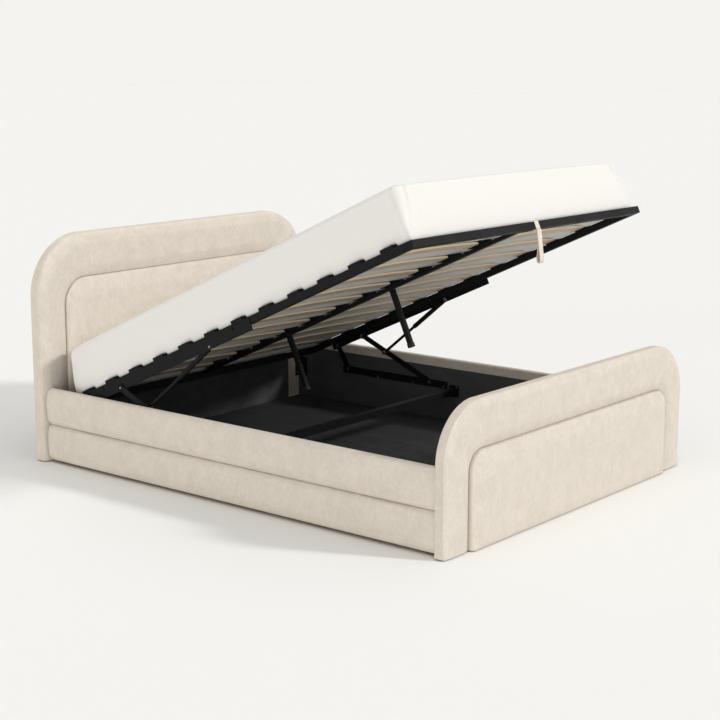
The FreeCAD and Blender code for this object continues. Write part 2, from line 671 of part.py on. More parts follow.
def make_corner_brackets(screws):
    """Steel angles between the rails and the two end boards."""
    brackets = []
    middle = size.bracket_bottom + size.bracket_height / 2
    end_height = size.bracket_bottom + size.bracket_end_screw
    reach = size.bracket_leg / 2
    end_reach = (size.bracket_end_leg + size.plate_thickness) / 2
    for end, face_y, inwards in (("foot", foot_lining_face, 1), ("head", headboard_face, -1)):
        plate_y = face_y + inwards * size.plate_thickness
        leg_y = face_y + inwards * size.bracket_leg
        for side, sign in (("left", -1), ("right", 1)):
            name = "bracket_%s_%s" % (end, side)
            plate_x = sign * (box_half - size.plate_thickness)
            leg_x = sign * (box_half - size.bracket_end_leg)
            across = block(name + "_across", (min(leg_x, sign * box_half), min(face_y, plate_y),
                                              size.bracket_bottom),
                           ("bracket_end_leg", "plate_thickness", "bracket_height"))
            along = block(name + "_along", (min(plate_x, sign * box_half), min(face_y, leg_y),
                                            size.bracket_bottom),
                          ("plate_thickness", "bracket_leg", "bracket_height"))
            end_screw = ((sign * (box_half - end_reach), plate_y, end_height), (0, -inwards, 0))
            side_screw = ((plate_x, face_y + inwards * reach, middle), (sign, 0, 0))
            screws.append(screw(name + "_end_screw", *end_screw))
            screws.append(screw(name + "_side_screw", *side_screw))
            holes = [screw_hole(name + "_end_hole", *end_screw), screw_hole(name + "_side_hole", *side_screw)]
            brackets.append(cut_from(name + "_drilled", joined(name, [across, along]), holes))
    finish(together("brackets", brackets), "corner_brackets")


def make_spreader(screws):
    """The square tube across the storage box with a screwed plate at each end."""
    tube_half = hinge_plate_inside
    corner = (-tube_half, spreader_y - size.spreader_section / 2,
              size.spreader_height - size.spreader_section / 2)
    tube = hollow("spreader_tube", corner, ("spreader_length", "spreader_section", "spreader_section"), 0,
                  "spreader_wall")
    half_plate = size.spreader_plate / 2
    offset = half_plate - size.spreader_screw_edge
    plates = []
    for side, sign in (("left", -1), ("right", 1)):
        name = "spreader_" + side
        plate = block(name + "_plate", (min(sign * tube_half, sign * box_half),
                                        spreader_y - half_plate, size.spreader_height - half_plate),
                      ("plate_thickness", "spreader_plate", "spreader_plate"))
        holes = []
        for label, way in (("low", 1), ("high", -1)):
            face = (sign * tube_half, spreader_y + way * offset, size.spreader_height - way * offset)
            screws.append(screw("%s_%s_screw" % (name, label), face, (sign, 0, 0)))
            holes.append(screw_hole("%s_%s_hole" % (name, label), face, (sign, 0, 0)))
        plates.append(cut_from(name + "_drilled", plate, holes))
    finish(joined("spreader", [tube] + plates), "spreader_bar")


def make_hinge_plates(screws):
    """Base plates of the lift linkage on the rail linings, with two pivot pins each."""
    screw_height = size.base_pivot_height - size.hinge_screw_drop
    spots = (hinge_plate_start + size.hinge_screw_end, front_base[0] + size.hinge_screw_front,
             rear_base[0] - size.hinge_screw_rear)
    pins = []
    for side, sign in (("left", -1), ("right", 1)):
        name = "hinge_" + side
        inside = sign * hinge_plate_inside
        plate = block(name + "_plate", (min(inside, sign * box_half), hinge_plate_start,
                                        size.base_pivot_height - size.hinge_plate_low),
                      ("plate_thickness", "hinge_plate_length", "hinge_plate_height"))
        holes = []
        for number, spot in enumerate(spots):
            face = (inside, spot, screw_height)
            screws.append(screw("%s_screw_%d" % (name, number), face, (sign, 0, 0)))
            holes.append(screw_hole("%s_hole_%d" % (name, number), face, (sign, 0, 0)))
        finish(cut_from(name + "_drilled", plate, holes), side + "_hinge_base_plate")
        under_head = sign * (link_inside - size.face_play)
        for label, pivot in (("rear", rear_base), ("front", front_base)):
            pins.append(headed_pin("%s_%s_pin" % (name, label), (under_head, *pivot), sign,
                                   "base_pin_length"))
    finish(together("base_pins", pins), "base_pivot_pins")


def headed_pin(name, start, sign, shank_length):
    """A pin outwards along X from a start, with its head on the inside of that start."""
    shank = round_bar(name + "_shank", start, (sign, 0, 0), "pin_radius", shank_length)
    head = round_bar(name + "_head", start, (-sign, 0, 0), "pin_head_radius", "pin_head_height")
    return joined(name, [shank, head])


def make_base_steel():
    """Corner brackets, the tube across the box and the hinge base plates, with all their screws."""
    screws = []
    make_corner_brackets(screws)
    make_spreader(screws)
    make_hinge_plates(screws)
    finish(together("screws", screws), "frame_bolts")


def make_glides():
    """Glides that the headboard and the footboard stand on, under their borders and panels."""
    reach = half_bed - size.glide_inset
    discs = []
    for end, place_y in (("foot", footboard_face + length.foot_cover_depth / 2),
                         ("head", headboard_face + length.head_cover_depth / 2)):
        for number, place_x in enumerate((-reach, -reach / 3, reach / 3, reach)):
            discs.append(round_bar("glide_%s_%d" % (end, number), (place_x, place_y, 0), (0, 0, 1),
                                   "glide_radius", "glide_height"))
    finish(together("glides", discs), "glide_feet")


def hollow(name, corner, lengths, axis, wall):
    """A square tube along an axis, open at both ends."""
    outer = block(name + "_outer", corner, lengths)
    inner_corner = list(corner)
    inner_lengths = list(lengths)
    for other in range(3):
        if other != axis:
            inner_corner[other] += number_of(wall)
            inner_lengths[other] += " - 2 * " + wall
    bore = block(name + "_bore", inner_corner, inner_lengths)
    return cut_from(name, outer, [bore])


def make_platform_frame():
    """Steel tubes of the lifting platform, with plugs in the ends of the two cross tubes."""
    section = size.tube_section
    head_start = platform_length - section
    tube_end = half_platform - size.plug_flange
    for name, place_y in (("foot_tube", 0), ("head_tube", head_start)):
        tube = hollow(name + "_steel", (-tube_end, place_y, 0),
                      ("cross_tube_length", "tube_section", "tube_section"), 0, "tube_wall")
        finish(tube, name, PLATFORM)
    for name, place_x in (("left_side_tube", -half_platform), ("right_side_tube", half_platform - section)):
        tube = hollow(name + "_steel", (place_x, section, 0),
                      ("tube_section", "long_tube_length", "tube_section"), 1, "tube_wall")
        finish(tube, name, PLATFORM)
    rail = hollow("centre_rail_steel", (-section / 2, section, centre_rail_low),
                  ("tube_section", "long_tube_length", "centre_rail_height"), 1, "tube_wall")
    finish(rail, "centre_rail", PLATFORM)
    inside = "tube_section - 2 * tube_wall"
    plugs = []
    for end, place_y in (("foot", 0), ("head", head_start)):
        for side, sign in (("left", -1), ("right", 1)):
            name = "plug_%s_%s" % (end, side)
            flange = block(name + "_flange", (min(sign * half_platform, sign * tube_end), place_y, 0),
                           ("plug_flange", "tube_section", "tube_section"))
            stem_end = sign * (tube_end - size.plug_depth)
            stem = block(name + "_stem", (min(sign * tube_end, stem_end), place_y + size.tube_wall,
                                          size.tube_wall),
                         ("plug_depth", inside, inside))
            plugs.append(joined(name, [flange, stem]))
    finish(together("plugs", plugs), "tube_end_plugs", PLATFORM)


def bowed_slat():
    """One sprung slat on the right, from the middle of the platform to its side."""
    inner = size.slat_middle_gap
    middle = inner + half_slat
    top = slat_seat + size.slat_thickness
    start = slat_start - size.slat_width / 2
    corners = [(inner, slat_seat), (slat_outer, slat_seat), (slat_outer, top), (inner, top)]
    middles = {0: (middle, slat_seat + size.slat_bow), 2: (middle, top + size.slat_bow)}
    return Part.Face(section_at(start, corners, middles)).extrude(Vector(0, size.slat_width, 0))


def slat_holder(low_x, reach, height, pockets):
    """A holder on the tube at the first slat, with pockets given as low X, reach and height."""
    width = size.slat_width + 2 * size.cap_wall
    holder = Part.makeBox(reach, width, height, Vector(low_x, slat_start - width / 2, size.tube_section))
    for pocket_x, pocket_reach, pocket_height in pockets:
        corner = Vector(pocket_x, slat_start - size.slat_width / 2, slat_seat)
        holder = holder.cut(Part.makeBox(pocket_reach, size.slat_width, pocket_height, corner))
    return holder


def repeat_along(name, shape):
    """Copies of a solid at every slat."""
    made = DOC.addObject("Part::Feature", name)
    made.Shape = Part.makeCompound([shape.translated(Vector(0, number * size.slat_pitch, 0))
                                    for number in range(slat_count)])
    return made


def make_slats():
    """Two columns of bowed slats and the plastic holders at their ends."""
    slat = bowed_slat()
    side_height = size.cap_floor + side_pocket_height + size.cap_cover
    side_cap = slat_holder(cap_start, cap_reach, side_height, [(cap_start, side_pocket, side_pocket_height)])
    reach = size.centre_cap_reach
    pockets = [(low_x, centre_pocket, centre_pocket_height) for low_x in (-reach, size.slat_middle_gap)]
    centre_cap = slat_holder(-reach, 2 * reach, centre_cap_top - size.tube_section, pockets)
    across = Vector(1, 0, 0)
    for name, shape in (("slats", slat), ("slat_caps", side_cap)):
        finish(repeat_along(name + "_drawn", shape), "right_" + name, PLATFORM)
        finish(repeat_along(name + "_mirrored", shape.mirror(Vector(), across)), "left_" + name, PLATFORM)
    finish(repeat_along("centre_caps_drawn", centre_cap), "centre_slat_caps", PLATFORM)


def make_legs():
    """Two support legs under the centre rail, with rubber feet that meet the storage floor."""
    leg_low = centre_rail_low - length.leg_length
    sole = leg_low - size.leg_foot_sole
    half = size.leg_section / 2
    outer = half + size.leg_foot_wall
    shoe_width = "leg_section + 2 * leg_foot_wall"
    feet = []
    for name, from_head in (("foot_support_leg", size.foot_leg_place),
                            ("head_support_leg", size.head_leg_place)):
        place_y = platform_length - from_head
        leg = hollow(name + "_steel", (-half, place_y - half, leg_low),
                     ("leg_section", "leg_section", "leg_length"), 2, "leg_wall")
        finish(leg, name, PLATFORM)
        shoe = block(name + "_shoe", (-outer, place_y - outer, sole),
                     (shoe_width, shoe_width, "leg_foot_height"))
        seat = block(name + "_seat", (-half, place_y - half, leg_low),
                     ("leg_section", "leg_section", "leg_foot_height"))
        feet.append(cut_from(name + "_foot", shoe, [seat]))
    finish(together("legs_feet", feet), "leg_feet", PLATFORM)


def make_upper_brackets():
    """Steel plates on the platform sides, their bolts, and the pins of the linkage."""
    low_y = strut_along - size.upper_bracket_foot
    bolt_spots = (("head", rear_along - size.bracket_bolt_head),
                  ("foot", strut_along - size.bracket_bolt_foot))
    pivots = (("rear", rear_along), ("front", front_along), ("strut", strut_along))
    strut_start = strut_middle - size.strut_eye_width / 2 - size.face_play
    bolts = []
    pins = []
    for side, sign in (("left", -1), ("right", 1)):
        name = "upper_" + side
        out = (sign, 0, 0)
        inside = sign * half_platform
        plate = block(name + "_plate", (min(inside, sign * bracket_outside), low_y,
                                        -pivot_drop - size.upper_bracket_low),
                      ("plate_thickness", "upper_bracket_length", "upper_bracket_height"))
        holes = [round_bar("%s_%s_hole" % (name, label), (inside, along, -pivot_drop), out, "pin_radius",
                           "plate_thickness") for label, along in pivots]
        for label, along in bolt_spots:
            start = (inside, along, size.bracket_bolt_height)
            shank = round_bar("%s_%s_bolt_shank" % (name, label), start, out, "screw_radius",
                              "plate_thickness")
            head = round_bar("%s_%s_bolt_head" % (name, label), (sign * bracket_outside, *start[1:]), out,
                             "screw_head_radius", "screw_head_height")
            holes.append(round_bar("%s_%s_bolt_hole" % (name, label), start, out, "screw_radius",
                                   "plate_thickness"))
            bolts.append(joined("%s_%s_bolt" % (name, label), [shank, head]))
        finish(cut_from(name + "_drilled", plate, holes), side + "_upper_bracket", PLATFORM)
        for label, along in pivots[:2]:
            pins.append(headed_pin("%s_%s_pin" % (name, label), (inside, along, -pivot_drop), sign,
                                   "link_pin_length"))
        pins.append(headed_pin(name + "_strut_pin", (sign * strut_start, strut_along, -pivot_drop), sign,
                               "strut_pin_length"))
    finish(together("bracket_bolts", bolts), "upper_bracket_bolts", PLATFORM)
    finish(together("bracket_pins", pins), "upper_pivot_pins", PLATFORM)


def along_line(start, end):
    """The placement that lays the Y axis along a line of the Y and Z plane."""
    return Placement(Vector(0, *start), Rotation(Vector(1, 0, 0), slope(start, end)))


def flat_link(name, sign, long, far_radius, far_hole):
    """A flat bar along Y with round ends and a hole for the pivot at each end."""
    low_x = min(sign * link_inside, sign * link_outside)
    far = number_of(long)
    across = (1, 0, 0)
    bar = block(name + "_bar", (low_x, 0, -size.link_width / 2), ("link_thickness", long, "link_width"))
    near_end = round_bar(name + "_near_end", (low_x, 0, 0), across, "link_width / 2", "link_thickness")
    far_end = round_bar(name + "_far_end", (low_x, far, 0), across, far_radius, "link_thickness")
    near_hole = round_bar(name + "_near_hole", (low_x, 0, 0), across, "pin_radius + running_play",
                          "link_thickness")
    far_hole = round_bar(name + "_far_hole", (low_x, far, 0), across, far_hole, "link_thickness")
    blank = joined(name + "_blank", [bar, near_end, far_end])
    return cut_from(name + "_drilled", blank, [near_hole, far_hole])


def make_links():
    """Rear and front links of the lift, left and right, the front ones with an oversized far hole."""
    loose = "pin_radius + open_pivot_play"
    for side, sign in (("left", -1), ("right", 1)):
        rear = flat_link(side + "_rear", sign, "rear_link_length", "link_width / 2",
                         "pin_radius + running_play")
        finish(rear, side + "_rear_link", along_line(rear_base, rear_top))
        front = flat_link(side + "_front", sign, "front_link_length", loose + " + open_pivot_wall", loose)
        finish(front, side + "_front_link", along_line(front_base, front_top))


NECK = "strut_eye_width / 2 - strut_neck_step"


def strut_cylinder(name, middle, eye_x):
    """Strut cylinder along Y from the eye at its pivot, with a blind bore for the rod."""
    along = (0, 1, 0)
    across = (1, 0, 0)
    eye = round_bar(name + "_eye", (eye_x, 0, 0), across, "strut_eye_radius", "strut_eye_width")
    neck = round_bar(name + "_neck", (middle, 0, 0), along, NECK, "strut_neck_length")
    tube = round_bar(name + "_tube", (middle, size.strut_neck_length, 0), along, "strut_radius",
                     "strut_body_length")
    bore = round_bar(name + "_bore", (middle, strut_body_end - length.strut_bore_depth, 0), along,
                     "rod_radius + running_play", "strut_bore_depth")
    hole = round_bar(name + "_hole", (eye_x, 0, 0), across, "pin_radius + running_play", "strut_eye_width")
    return cut_from(name + "_drilled", joined(name + "_blank", [eye, neck, tube]), [bore, hole])


def strut_rod(name, middle, eye_x):
    """Strut rod along Y, from inside the cylinder to the eye at its pin."""
    along = (0, 1, 0)
    across = (1, 0, 0)
    far = length.strut_length
    neck_start = far - size.rod_neck_length
    shaft = round_bar(name + "_shaft", (middle, strut_body_end - size.rod_overlap, 0), along, "rod_radius",
                      "rod_length")
    fitting = round_bar(name + "_fitting", (middle, neck_start - size.rod_fitting_length, 0), along,
                        "rod_fitting_radius", "rod_fitting_length")
    neck = round_bar(name + "_neck", (middle, neck_start, 0), along, NECK, "rod_neck_length")
    ring = round_bar(name + "_ring", (eye_x, far, 0), across, "strut_eye_radius", "strut_eye_width")
    hole = round_bar(name + "_hole", (eye_x, far, 0), across, "pin_radius + running_play", "strut_eye_width")
    return cut_from(name + "_drilled", joined(name + "_blank", [shaft, fitting, neck, ring]), [hole])


def make_struts():
    """Gas struts: a cylinder hung from each upper bracket, a rod that slides in it and the rod's pin."""
    place = along_line(strut_top, strut_pin)
    half_eye = size.strut_eye_width / 2
    pins = []
    for side, sign in (("left", -1), ("right", 1)):
        middle = sign * strut_middle
        eye_x = middle - half_eye
        finish(strut_cylinder(side + "_cylinder", middle, eye_x), side + "_strut_cylinder", place)
        finish(strut_rod(side + "_rod", middle, eye_x), side + "_strut_rod", place)
        pin_start = sign * (strut_middle - half_eye - size.face_play)
        pins.append(headed_pin(side + "_rod_pin", (pin_start, length.strut_length, 0), sign,
                               "rod_pin_length"))
    finish(together("rod_pins", pins), "strut_rod_pins", place)


def mattress_section(along, draw):
    """Section of the mattress: arched over the slats, swollen sides, round top edges and a crown."""
    half = half_mattress - draw
    low = mattress_low
    high = low + size.mattress_height - draw
    corner = size.mattress_corner
    bite = round_middle(corner)
    swell = half + size.mattress_bulge
    swell_height = (low + high - corner) / 2
    corners = [(-half, low), (0, low), (half, low), (half, high - corner), (half - corner, high),
               (corner - half, high), (-half, high - corner)]
    middles = {0: (-half / 2, low + mattress_arch), 1: (half / 2, low + mattress_arch),
               2: (swell, swell_height), 3: (half - bite, high - bite),
               4: (0, high + size.mattress_crown), 5: (bite - half, high - bite),
               6: (-swell, swell_height)}
    return section_at(along, corners, middles)


def make_mattress():
    """The mattress, drawn in towards both ends."""
    start = size.platform_foot_margin
    made = drawn_in(mattress_section, start, start + size.mattress_length, size.mattress_corner,
                    size.mattress_end_draw)
    finish(made, "mattress", PLATFORM)


def make_strap():
    """Band of the pull strap round the foot tube, and the loop that hangs from it."""
    half = size.strap_width / 2
    thick = size.strap_thickness
    front = block("strap_front_band", (-half, -thick, -thick),
                  ("strap_width", "strap_thickness", "strap_front"))
    grip = ("strap_width", "strap_grip", "strap_thickness")
    over = block("strap_over", (-half, 0, size.tube_section), grip)
    under = block("strap_under", (-half, 0, -thick), grip)
    finish(joined("strap_band", [front, over, under]), "strap_wrap", PLATFORM)
    hang_y, hang_z = on_platform(-thick, -thick)
    top = (hang_y, hang_z - size.face_play)
    inner_top = (hang_y, top[1] - thick * size.strap_drop / size.strap_bend)
    inner_drop = size.strap_drop - thick - (top[1] - inner_top[1])
    outer = Part.Face(teardrop(top, size.strap_drop, size.strap_bend))
    inner = Part.Face(teardrop(inner_top, inner_drop, size.strap_bend - thick))
    loop = DOC.addObject("Part::Feature", "strap_loop")
    loop.Shape = outer.cut(inner).extrude(Vector(size.strap_width, 0, 0)).Solids[0]
    finish(loop, "pull_strap", Placement(Vector(-half, 0, 0), Rotation()))


def teardrop(top, drop, radius):
    """A closed outline from a top point, straight to a round bottom at a drop below it."""
    centre_y = top[0]
    centre_z = top[1] - drop + radius
    lean = math.asin(radius / (top[1] - centre_z))
    touch_y = radius * math.cos(lean)
    touch_z = centre_z + radius * math.sin(lean)
    turn = radius * math.sqrt(0.5)
    points = [Vector(0, *top), Vector(0, centre_y + touch_y, touch_z),
              Vector(0, centre_y, centre_z - radius), Vector(0, centre_y - touch_y, touch_z)]
    arcs = {1: Vector(0, centre_y + turn, centre_z - turn), 2: Vector(0, centre_y - turn, centre_z - turn)}
    return wire_of(points, arcs)


def check_document():
    """Stop if an object failed to build or a piece has no sound shape."""
    DOC.recompute()
    for item in DOC.Objects:
        if "Invalid" in item.State or "Error" in item.State:
            raise RuntimeError("%s failed: %s" % (item.Label, item.State))
    for made in PIECES:
        if made.Shape.isNull() or not made.Shape.isValid():
            raise RuntimeError(made.Label + " has no sound shape")


def print_pivots():
    """Print the places of the linkage pivots, open and closed, as Y and Z."""
    for label, point in (("rear base", rear_base), ("front base", front_base), ("rear bracket", rear_top),
                         ("front bracket", front_top), ("strut bracket", strut_top), ("strut pin", strut_pin),
                         ("open platform foot", open_foot), ("closed platform foot", closed_foot)):
        print("%s: %.4f %.4f" % (label, *point))
    print("platform pivots along and above:", rear_along, front_along, strut_along, -pivot_drop)


def write_pieces():
    """Write each piece to its own file."""
    os.makedirs("parts", exist_ok=True)
    for made in PIECES:
        made.Shape.exportStep(os.path.join("parts", made.Label + ".step"))


make_end_board("headboard", headboard_face, head_core_face, headboard_panel_face, back_y - size.back_cloth)
make_end_board("footboard", footboard_face, foot_core_face, front_y, footboard_inside - size.back_cloth)
make_rails()
make_linings_and_floor()
make_base_steel()
make_glides()
make_platform_frame()
make_slats()
make_legs()
make_upper_brackets()
make_links()
make_struts()
make_mattress()
make_strap()
check_document()
print_pivots()
write_pieces()
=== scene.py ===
"""Looks of the storage bed: padded boards and rails, mattress, pull strap, finishes and a plain studio.

Laid out as an add-on and run as a script. Lengths are metres in the bed's own frame: the floor is at Z zero,
the foot end is at -Y, and left is -X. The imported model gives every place, so a new piece lies where its
solid lies.
"""

import math

import bmesh
import bpy
import numpy as np
from bpy.props import FloatProperty, FloatVectorProperty, PointerProperty
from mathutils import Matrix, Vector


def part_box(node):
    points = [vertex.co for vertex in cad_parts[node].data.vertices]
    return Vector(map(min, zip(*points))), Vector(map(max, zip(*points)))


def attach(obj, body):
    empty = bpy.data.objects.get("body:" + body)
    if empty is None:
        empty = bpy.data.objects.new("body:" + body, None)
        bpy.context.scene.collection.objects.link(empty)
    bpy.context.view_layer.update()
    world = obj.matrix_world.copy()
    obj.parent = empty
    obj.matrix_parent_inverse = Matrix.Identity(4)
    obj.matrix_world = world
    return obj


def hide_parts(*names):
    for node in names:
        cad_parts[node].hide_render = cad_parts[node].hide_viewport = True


bl_info = {
    "name": "Storage bed looks",
    "version": (1, 0, 0),
    "blender": (4, 5, 0),
    "location": "3D View > Sidebar > Storage bed",
    "description": "Padded boards and rails, mattress, pull strap, finishes and studio of a storage bed",
    "category": "Object",
}

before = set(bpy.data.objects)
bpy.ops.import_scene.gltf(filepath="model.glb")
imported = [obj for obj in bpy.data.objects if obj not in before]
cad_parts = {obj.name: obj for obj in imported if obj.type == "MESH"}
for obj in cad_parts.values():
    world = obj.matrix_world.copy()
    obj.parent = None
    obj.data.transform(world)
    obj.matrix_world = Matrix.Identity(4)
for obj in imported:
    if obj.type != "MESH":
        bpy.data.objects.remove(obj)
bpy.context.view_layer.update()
QUARTER = np.linspace(0.0, np.pi / 2, 11)
SHARP_ANGLE = math.radians(48)
SMALLEST = 1e-9

# Small lengths in metres: gaps between pieces, and widths over which one form runs into another
MERGE_DISTANCE = 0.00002
SEAM_GAP = 0.0005
CORE_CLEARANCE = 0.0002
TUBE_CLEARANCE = 0.0006
HOLDER_CLEARANCE = 0.0008
FLOOR_DROP = 0.0003
TOP_CROWN = 0.001
WAVE_ROOM = 0.0015
FOLD_ROOM = 0.075
FOLD_START = 0.006
FOLD_WIDTH = 0.0075
SLAT_BOW = 0.0075
LEAST_SLAT_GAP = 0.065

# Distances inside a slat's edge where its paler cut edge begins and where it is full; the paler edge is
# partly the plies' tone and partly a painted highlight
EDGE_BLEND = (0.0014, 0.0005)

# Distances past a slat's edge over which the mattress turns down at the ends, and between the slats
LIP_BLEND = (0.004, 0.024)
BETWEEN_BLEND = (0.001, 0.008)

# Distances past the holders' inner edge over which the mattress settles, and goes onto the holders
LONG_EDGE_BLEND = (-0.080, -0.012)
HOLDER_BLEND = (-0.006, -0.001)

# Depths behind a show face, and a height over its foot, where the filling's cloth is held
HELD_BOARD_DEPTH = 0.010
HELD_RAIL_DEPTH = 0.016
HELD_FOOT = 0.002

# Shares: a seam's steep lip of its drop and reach, a rail's top rounding of its side rounding
LIP_DROP_SHARE = 0.4
LIP_REACH_SHARE = 0.16
TOP_STRETCH = 1.2

# Studio: reach of its floor each way, how far the camera sees, and its sensor's width in millimetres
FLOOR_REACH = 60.0
SIGHT = 200.0
SENSOR_WIDTH = 36.0


def mesh_points(mesh):
    """Every point of a mesh, as an array of three columns."""
    points = np.empty(len(mesh.vertices) * 3, dtype=np.float32)
    mesh.vertices.foreach_get("co", points)
    return points.reshape(-1, 3).astype(float)


def node_points(name):
    """Every point of a CAD node at rest."""
    return mesh_points(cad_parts[name].data)


def platform_axes():
    """Foot corner of the platform's underside in its middle, and the directions along and up from it.

    The line between the middles of the two cross tubes runs along the platform. The corner lies half a
    tube back and half a tube down from the foot tube's middle.
    """
    foot = np.mean(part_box("foot_tube"), axis=0)
    head = np.mean(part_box("head_tube"), axis=0)
    along = (head - foot) / np.linalg.norm(head - foot)
    up = np.array([0.0, -along[2], along[1]])
    reach = node_points("foot_tube") @ along
    half = (reach.max() - reach.min()) / 2
    return foot - along * half - up * half, along, up


PLATFORM_CORNER, PLATFORM_ALONG, PLATFORM_UP = platform_axes()
PLATFORM_TILT = math.atan2(-PLATFORM_ALONG[2], PLATFORM_ALONG[1])


def platform_span(name):
    """Lowest and highest place of a node along the platform and above its underside."""
    offsets = node_points(name) - PLATFORM_CORNER
    along = offsets @ PLATFORM_ALONG
    above = offsets @ PLATFORM_UP
    return along.min(), along.max(), above.min(), above.max()


def on_platform(across, along, above):
    """Points of the tilted platform from arrays of places across, along and above it."""
    shape = np.broadcast(across, along, above).shape
    points = np.empty(shape + (3,))
    points[..., 0] = across
    points[..., 1] = PLATFORM_CORNER[1] + along * PLATFORM_ALONG[1] + above * PLATFORM_UP[1]
    points[..., 2] = PLATFORM_CORNER[2] + along * PLATFORM_ALONG[2] + above * PLATFORM_UP[2]
    return points


# Properties


def length_property(name, default, description):
    """A length that a user may change."""
    return FloatProperty(name=name, description=description, default=default, unit="LENGTH",
                         subtype="DISTANCE", precision=4)


def angle_property(name, degrees, description):
    """An angle that a user may change."""
    return FloatProperty(name=name, description=description, default=math.radians(degrees), unit="ROTATION",
                         subtype="ANGLE")


def strength_property(name, default, description):
    """The strength of a light, which a user may change."""
    return FloatProperty(name=name, description=description, default=default, min=0.0)


def colour_property(name, default, description):
    """A colour that a user may change."""
    return FloatVectorProperty(name=name, description=description, default=default, size=3, min=0.0, max=1.0,
                               subtype="COLOR")


class PaddingSizes(bpy.types.PropertyGroup):
    """Sizes of the padded headboard, footboard and rails."""

    headboard_corner: length_property("Headboard corner", 0.27, "Radius of the headboard's top corners")
    headboard_panel_corner: length_property("Headboard panel corner", 0.1145, "Radius of its panel corners")
    footboard_corner: length_property("Footboard corner", 0.22, "Radius of the footboard's top corners")
    footboard_panel_corner: length_property("Footboard panel corner", 0.0745, "Radius of its panel corners")
    core_wrap: length_property("Core wrap", 0.0078, "Padding round the edge of a wooden core")
    core_thickness: length_property("Core thickness", 0.0182, "Room behind a border for its core")
    seam_reach: length_property("Seam reach", 0.050, "Width over which a border falls into its seam")
    seam_drop: length_property("Seam drop", 0.015, "Depth of a border's fall into its seam")
    shoulder_reach: length_property("Shoulder reach", 0.042, "Width of the shoulder along an outer edge")
    shoulder_drop: length_property("Shoulder drop", 0.003, "Fall of that shoulder")
    headboard_roll: length_property("Headboard roll", 0.027, "Radius of the headboard's outer edge")
    footboard_roll: length_property("Footboard roll", 0.010, "Radius of the footboard's outer edge")
    stitch_depth: length_property("Stitch depth", 0.0012, "Depth of the stitched groove along an outer edge")
    panel_reach: length_property("Panel reach", 0.026, "Width over which a raised panel rounds off")
    panel_drop: length_property("Panel drop", 0.015, "Depth of a raised panel's rounding")
    panel_crown: length_property("Panel crown", 0.001, "Rise of a raised panel before it is filled")
    channel_round: length_property("Channel round", 0.028, "Rounding of the padded rail channels")
    channel_crown: length_property("Channel crown", 0.002, "Swell of a rail channel before it is filled")
    channel_end: length_property("Channel end", 0.045, "Length over which a channel draws in at its ends")
    channel_draw: length_property("Channel draw", 0.007, "How far a channel draws in at its ends")
    flap_round: length_property("Flap round", 0.010, "Rounding of the inner top edge of a rail")
    panel_fill: length_property("Panel fill", 0.005, "Most that the filling swells a raised panel")
    border_fill: length_property("Border fill", 0.003, "Most that the filling swells a border")
    channel_fill: length_property("Channel fill", 0.003, "Most that the filling swells a rail channel")


class MattressSizes(bpy.types.PropertyGroup):
    """Sizes of the mattress."""

    corner_round: length_property("Corner round", 0.040, "Rounding of the upright corners at the top")
    corner_low: length_property("Corner, low", 0.007, "Rounding of the upright corners at the bottom")
    head_round: length_property("Head round", 0.046, "Rounding of the top edge at the head end")
    top_round: length_property("Top round", 0.022, "Rounding of the top edges")
    low_round: length_property("Low round", 0.005, "Rounding of the bottom edges")
    swell: length_property("Swell", 0.009, "How far the sides stand out in their middle")
    crown: length_property("Crown", 0.008, "Rise of the top in its middle")
    crease: length_property("Crease", 0.009, "Depth of the folds beside the upright corners")
    end_reach: length_property("End reach", 0.006, "How far the ends stand past the plain mattress")
    end_lip: length_property("End lip", 0.0143, "How far the two ends hang below the slats")
    side_lip: length_property("Side lip", 0.0022, "How far the long edges settle on the slats")
    overhang: length_property("Overhang", 0.0165, "How far the long sides stand over the tubes")


class StrapSizes(bpy.types.PropertyGroup):
    """Sizes of the pull strap."""

    width: length_property("Width", 0.028, "Width of the webbing")
    thickness: length_property("Thickness", 0.0024, "Thickness of the webbing")
    bend: length_property("Bend", 0.0035, "Radius of the webbing round the tube's edges")


class FinishColours(bpy.types.PropertyGroup):
    """Colours of the bed's finishes."""

    pile_light: colour_property("Pile, light", (0.610, 0.553, 0.480), "Chenille where its pile lies open")
    pile_dark: colour_property("Pile, dark", (0.520, 0.468, 0.400), "Chenille where its pile lies flat")
    ticking: colour_property("Ticking", (0.70, 0.675, 0.642), "Mattress cloth")
    webbing: colour_property("Webbing", (0.76, 0.68, 0.57), "Pull strap")
    steel: colour_property("Steel", (0.0038, 0.0038, 0.004), "Powder coat of the steel")
    zinc: colour_property("Zinc", (0.24, 0.24, 0.235), "Plated bolts and pins")
    birch_light: colour_property("Birch, light", (0.66, 0.535, 0.39), "Early wood of the slats")
    birch_dark: colour_property("Birch, dark", (0.54, 0.435, 0.315), "Late wood of the slats")
    # Cut-edge colour of the slats: partly a paler ply tone, partly a painted highlight on the edges
    birch_edge_and_highlight: colour_property("Birch, edge", (0.96, 0.82, 0.58), "Cut edges of the slats")
    lining: colour_property("Lining", (0.052, 0.052, 0.053), "Lining of the storage box's walls")
    box_floor: colour_property("Box floor", (0.024, 0.024, 0.025), "Floor boards of the storage box")
    holder: colour_property("Holder", (0.0035, 0.0035, 0.0038), "Moulded slat holders and plugs")
    rubber: colour_property("Rubber", (0.02, 0.02, 0.02), "Feet of the support legs and glides")
    plywood: colour_property("Plywood", (0.55, 0.42, 0.27), "Cores and ledgers")


